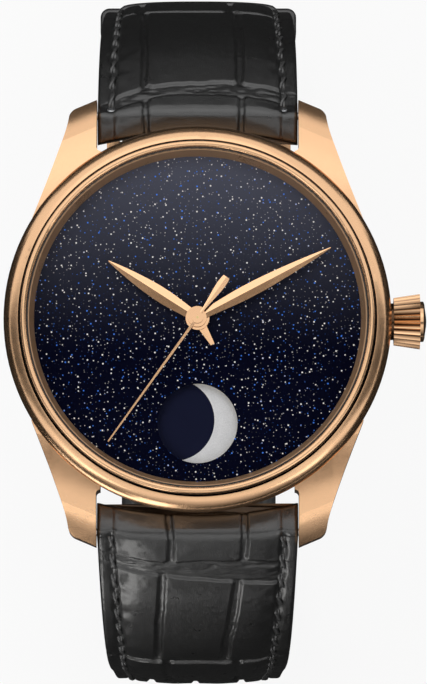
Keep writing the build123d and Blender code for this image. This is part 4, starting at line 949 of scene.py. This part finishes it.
def keeper_loop(wide, thick, drop):
    """Points round a keeper's inside, each with the direction that its wall grows in."""
    loop = []
    for start, (x, up) in enumerate(((wide, thick), (-wide, thick), (-wide, -thick), (wide, -thick))):
        x, up = x - math.copysign(KEEPER_CORNER, x), up - math.copysign(KEEPER_CORNER, up)
        for step in range(9):
            angle = math.pi / 2 * (start + step / 8)
            across, high = math.cos(angle), math.sin(angle)
            loop.append([x + KEEPER_CORNER * across, up + KEEPER_CORNER * high, across, high])
        if start == 0:
            loop += [[share * x, up + KEEPER_CORNER, 0.0, 1.0] for share in np.linspace(0.96, -0.96, 49)]
    for place in loop:
        if place[1] > 0:
            share = min(abs(place[0]) / (wide - 1.6), 1)
            place[1] -= drop * (1 - (1 - share**DOME_POWER) ** DOME_ROOT)
    return loop


def keeper_section():
    """A keeper's wall, cut along the strap: places along it, and heights over its inside."""
    outer_at = np.linspace(-KEEPER_HALF, KEEPER_HALF, 25)
    pressed = PRESSED_DEPTH * hump(np.abs(outer_at) - PRESSED_AT, PRESSED_HALF)
    outer = KEEPER_WALL - rounded(KEEPER_HALF - np.abs(outer_at), KEEPER_ROUND) - pressed
    inner_at = [2.45, 1.2, 0.0, -1.2, -2.45]
    return np.concatenate([outer_at, inner_at]), np.concatenate([outer, np.zeros(len(inner_at))])


# %% The two keepers
def keeper_band(name, at, shader, room):
    wide, thick = half_width(at, UPPER) + room + 0.05, half_thickness(at) + room
    loop = keeper_loop(wide, thick, float(padding(at)))
    along, out = keeper_section()
    rings = []
    for across, up, turn_across, turn_up in loop + loop[:1]:
        rings.append(placed(across + turn_across * out, at + along, up + turn_up * out, UPPER))
    faces = tube_faces(len(rings), len(along), False, False)
    band = mesh_object(name, np.concatenate(rings), faces, shader)
    # The last ring lies on the first: merge them.
    shell = bmesh.new()
    shell.from_mesh(band.data)
    bmesh.ops.remove_doubles(shell, verts=shell.verts, dist=1e-7)
    bmesh.ops.recalc_face_normals(shell, faces=shell.faces)
    shell.to_mesh(band.data)
    shell.free()
    return band


fixed_band = keeper_band("keeper_fixed_band", 49.4, keeper_leather, 0.15)
free_band = keeper_band("keeper_free_band", 37.4, keeper_leather, 0.30)
print("keepers:", len(fixed_band.data.vertices), "and", len(free_band.data.vertices), "points")

# %% [markdown]
# Each piece now rides on the body of its CAD solid and stands for it, so it swings and slides with the
# joints that the solid has.

# %% Riding and replacing
for piece, body, node in (
    (upper_skin, "strap_upper_body", "strap_upper"),
    (lower_skin, "strap_lower_body", "strap_lower"),
    (fixed_band, "strap_upper_body", "keeper_fixed"),
    (free_band, "keeper_free_body", "keeper_free"),
):
    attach(piece, body)
    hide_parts(node)
for piece, body in (
    (upper_lining, "strap_upper_body"),
    (upper_stitches, "strap_upper_body"),
    (lower_lining, "strap_lower_body"),
    (lower_stitches, "strap_lower_body"),
):
    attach(piece, body)

# %% [markdown]
# ## Light
# A watch is photographed in a white tent, with bright panels overhead behind twelve o'clock and at the
# left. The tent is the world: white where it is mirrored, and weaker where it lights, because the panels
# add the rest. The panels only light, except for the glint, which also shows in the polish.

# %% World
TENT_LIGHT, TENT_SEEN = 0.60, 1.0
world = bpy.data.worlds.new("tent")
bpy.context.scene.world = world
world.use_nodes = True
tree = world.node_tree
background = next(n for n in tree.nodes if n.type == "BACKGROUND")
rays = tree.nodes.new("ShaderNodeLightPath")
seen = rays.outputs["Is Camera Ray"]
for kind in ("Is Glossy Ray", "Is Transmission Ray"):
    either = tree.nodes.new("ShaderNodeMath")
    either.operation = "MAXIMUM"
    tree.links.new(seen, either.inputs[0])
    tree.links.new(rays.outputs[kind], either.inputs[1])
    seen = either.outputs[0]
level = tree.nodes.new("ShaderNodeMapRange")
tree.links.new(seen, level.inputs["Value"])
level.inputs["To Min"].default_value = TENT_LIGHT
level.inputs["To Max"].default_value = TENT_SEEN
tree.links.new(level.outputs[0], background.inputs["Strength"])
background.inputs["Color"].default_value = (1, 1, 1, 1)
print("the tent lights at", TENT_LIGHT, "and is seen at", TENT_SEEN)


# %% Panels
def stand(name, data, place, target, face):
    """Put an object at a place, with one of its sides turned to a target."""
    obj = bpy.data.objects.new(name, data)
    bpy.context.collection.objects.link(obj)
    obj.location = place
    obj.rotation_mode = "QUATERNION"
    obj.rotation_quaternion = (Vector(target) - Vector(place)).to_track_quat(face, "Y")
    return obj


def panel(name, place, target, wide, tall, radiance):
    light = bpy.data.lights.new(name, "AREA")
    light.shape = "RECTANGLE"
    light.size, light.size_y = wide, tall
    light.energy = radiance * math.pi * wide * tall
    obj = stand(name, light, place, target, "-Z")
    obj.visible_glossy = False
    return obj


head = (0, 0, 0.06)
panel("panel_twelve", (-0.10, 0.40, 0.62), head, 0.50, 0.36, 1.4)
panel("panel_left", (-0.46, 0.02, 0.60), head, 0.34, 0.50, 1.0)
glint = panel("panel_glint", (-0.06, 0.34, 0.62), head, 0.44, 0.26, 0.40)
glint.visible_glossy = True

# %% [markdown]
# Cards give gold and leather something to mirror. Black ones low at the sides and under the watch, and
# dim ones above and behind, draw dark edges. A curtain in front, dark at the table and light at the top,
# grades the lower lugs, and a brown card overhead lies in the hands' lower facets. Glowing cards in front
# make leather and lower lugs gleam. Only reflections see a card: none lights or shades the watch.

# %% Finishes of the cards
CURTAIN_DARK, CURTAIN_LIGHT = -0.34, 0.30


def flat_shader(name, colour, rough):
    shader = Shader(name)
    cloud = shader.noise(6, 2)
    low = tuple(0.97 * c for c in colour)
    return shader.set(Base_Color=shader.mix(cloud, low, colour), Roughness=rough)


def glowing(name, strength):
    shader = Shader(name)
    return shader.ends_in(shader.node("Emission", Color=(1.0, 0.99, 0.97), Strength=strength))


def curtain_shader():
    """Nearly black at the table and nearly white at the top, graded in between."""
    shader = Shader("curtain_graded")
    _, up, _ = shader.axes()
    level = shader.spread(up, CURTAIN_DARK, CURTAIN_LIGHT)
    shade = shader.mix(level, (0.015, 0.015, 0.015), (0.95, 0.95, 0.95))
    return shader.ends_in(shader.node("Emission", Color=shade, Strength=1.0))


black_card = flat_shader("black_card", (0.01, 0.01, 0.01), 0.9)
brown_card = flat_shader("brown_card", (0.30, 0.28, 0.26), 0.9)
dim_card = flat_shader("dim_card", (0.10, 0.10, 0.10), 0.9)
graded = curtain_shader()


# %% Cards
def card(name, place, target, wide, tall, shader):
    mesh = bpy.data.meshes.new(name)
    x, y = wide / 2, tall / 2
    mesh.from_pydata([(-x, -y, 0), (x, -y, 0), (x, y, 0), (-x, y, 0)], [], [(0, 1, 2, 3)])
    mesh.materials.append(shader.material)
    return stand(name, mesh, place, target, "Z")


CARDS = (
    ("card_left", (-0.45, -0.02, 0.08), head, 0.60, 0.18, black_card),
    ("card_right", (0.45, -0.02, 0.08), head, 0.60, 0.18, black_card),
    ("card_high_left", (-0.54, -0.05, 0.56), head, 0.36, 0.62, dim_card),
    ("card_high_right", (0.54, -0.05, 0.56), head, 0.36, 0.62, dim_card),
    ("card_back", (0.0, 0.45, 0.09), head, 0.90, 0.17, dim_card),
    ("card_under", (0.0, -0.05, 0.0004), (0, -0.05, 9), 0.90, 0.70, black_card),
    ("card_beyond", (0.0, 0.60, 0.0004), (0, 0.60, 9), 0.90, 0.58, dim_card),
    ("card_gleam_left", (-0.38, -0.53, 0.46), head, 0.34, 0.28, glowing("gleam_left", 2.2)),
    ("card_gleam_right", (0.38, -0.53, 0.46), head, 0.30, 0.28, glowing("gleam_right", 2.0)),
    ("card_gleam_low", (-0.13, -0.50, 0.08), head, 0.10, 0.22, glowing("gleam_low", 3.2)),
    ("card_gleam_floor", (-0.12, -0.30, 0.0006), (-0.12, -0.30, 9), 0.12, 0.36,
     glowing("gleam_floor", 2.6)),
    ("card_facets", (0.0, -0.19, 0.92), head, 0.50, 0.22, brown_card),
    ("curtain_front", (0.0, -0.55, 0.45), (0, 0, 0.45), 1.50, 0.90, graded),
)
for name, place, facing, wide, tall, shader in CARDS:
    flag = card(name, place, facing, wide, tall, shader)
    flag.visible_camera = False
    flag.visible_diffuse = False
    flag.visible_shadow = False
    flag.visible_transmission = False
print("cards:", len(CARDS))

# %% [markdown]
# ## Floor
# The watch stands on a plain white sheet. The sheet shows its own white to the camera and keeps part of
# the shadow, so the watch is seen to stand on something.

# %% Floor
SHEET_SIZE, OWN_WHITE = 8.0, 0.88
floor_shader = flat_shader("floor_white", (0.93, 0.93, 0.93), 0.8)
ray = floor_shader.node("LightPath", output=0)
show = ray.math("MAXIMUM", ray.beside("Is Glossy Ray")).math("MAXIMUM", ray.beside("Is Transmission Ray"))
glow = floor_shader.node("Emission", Color=(1, 1, 1), Strength=1.0)
plain = Value(floor_shader, floor_shader.surface.outputs[0])
floor_shader.ends_in(floor_shader.node("MixShader", i0=show * OWN_WHITE, i1=plain, i2=glow))
floor = card("floor", (0, 0, 0), (0, 0, 1), SHEET_SIZE, SHEET_SIZE, floor_shader)

# %% View settings
scene = bpy.context.scene
scene.view_settings.view_transform = "Standard"
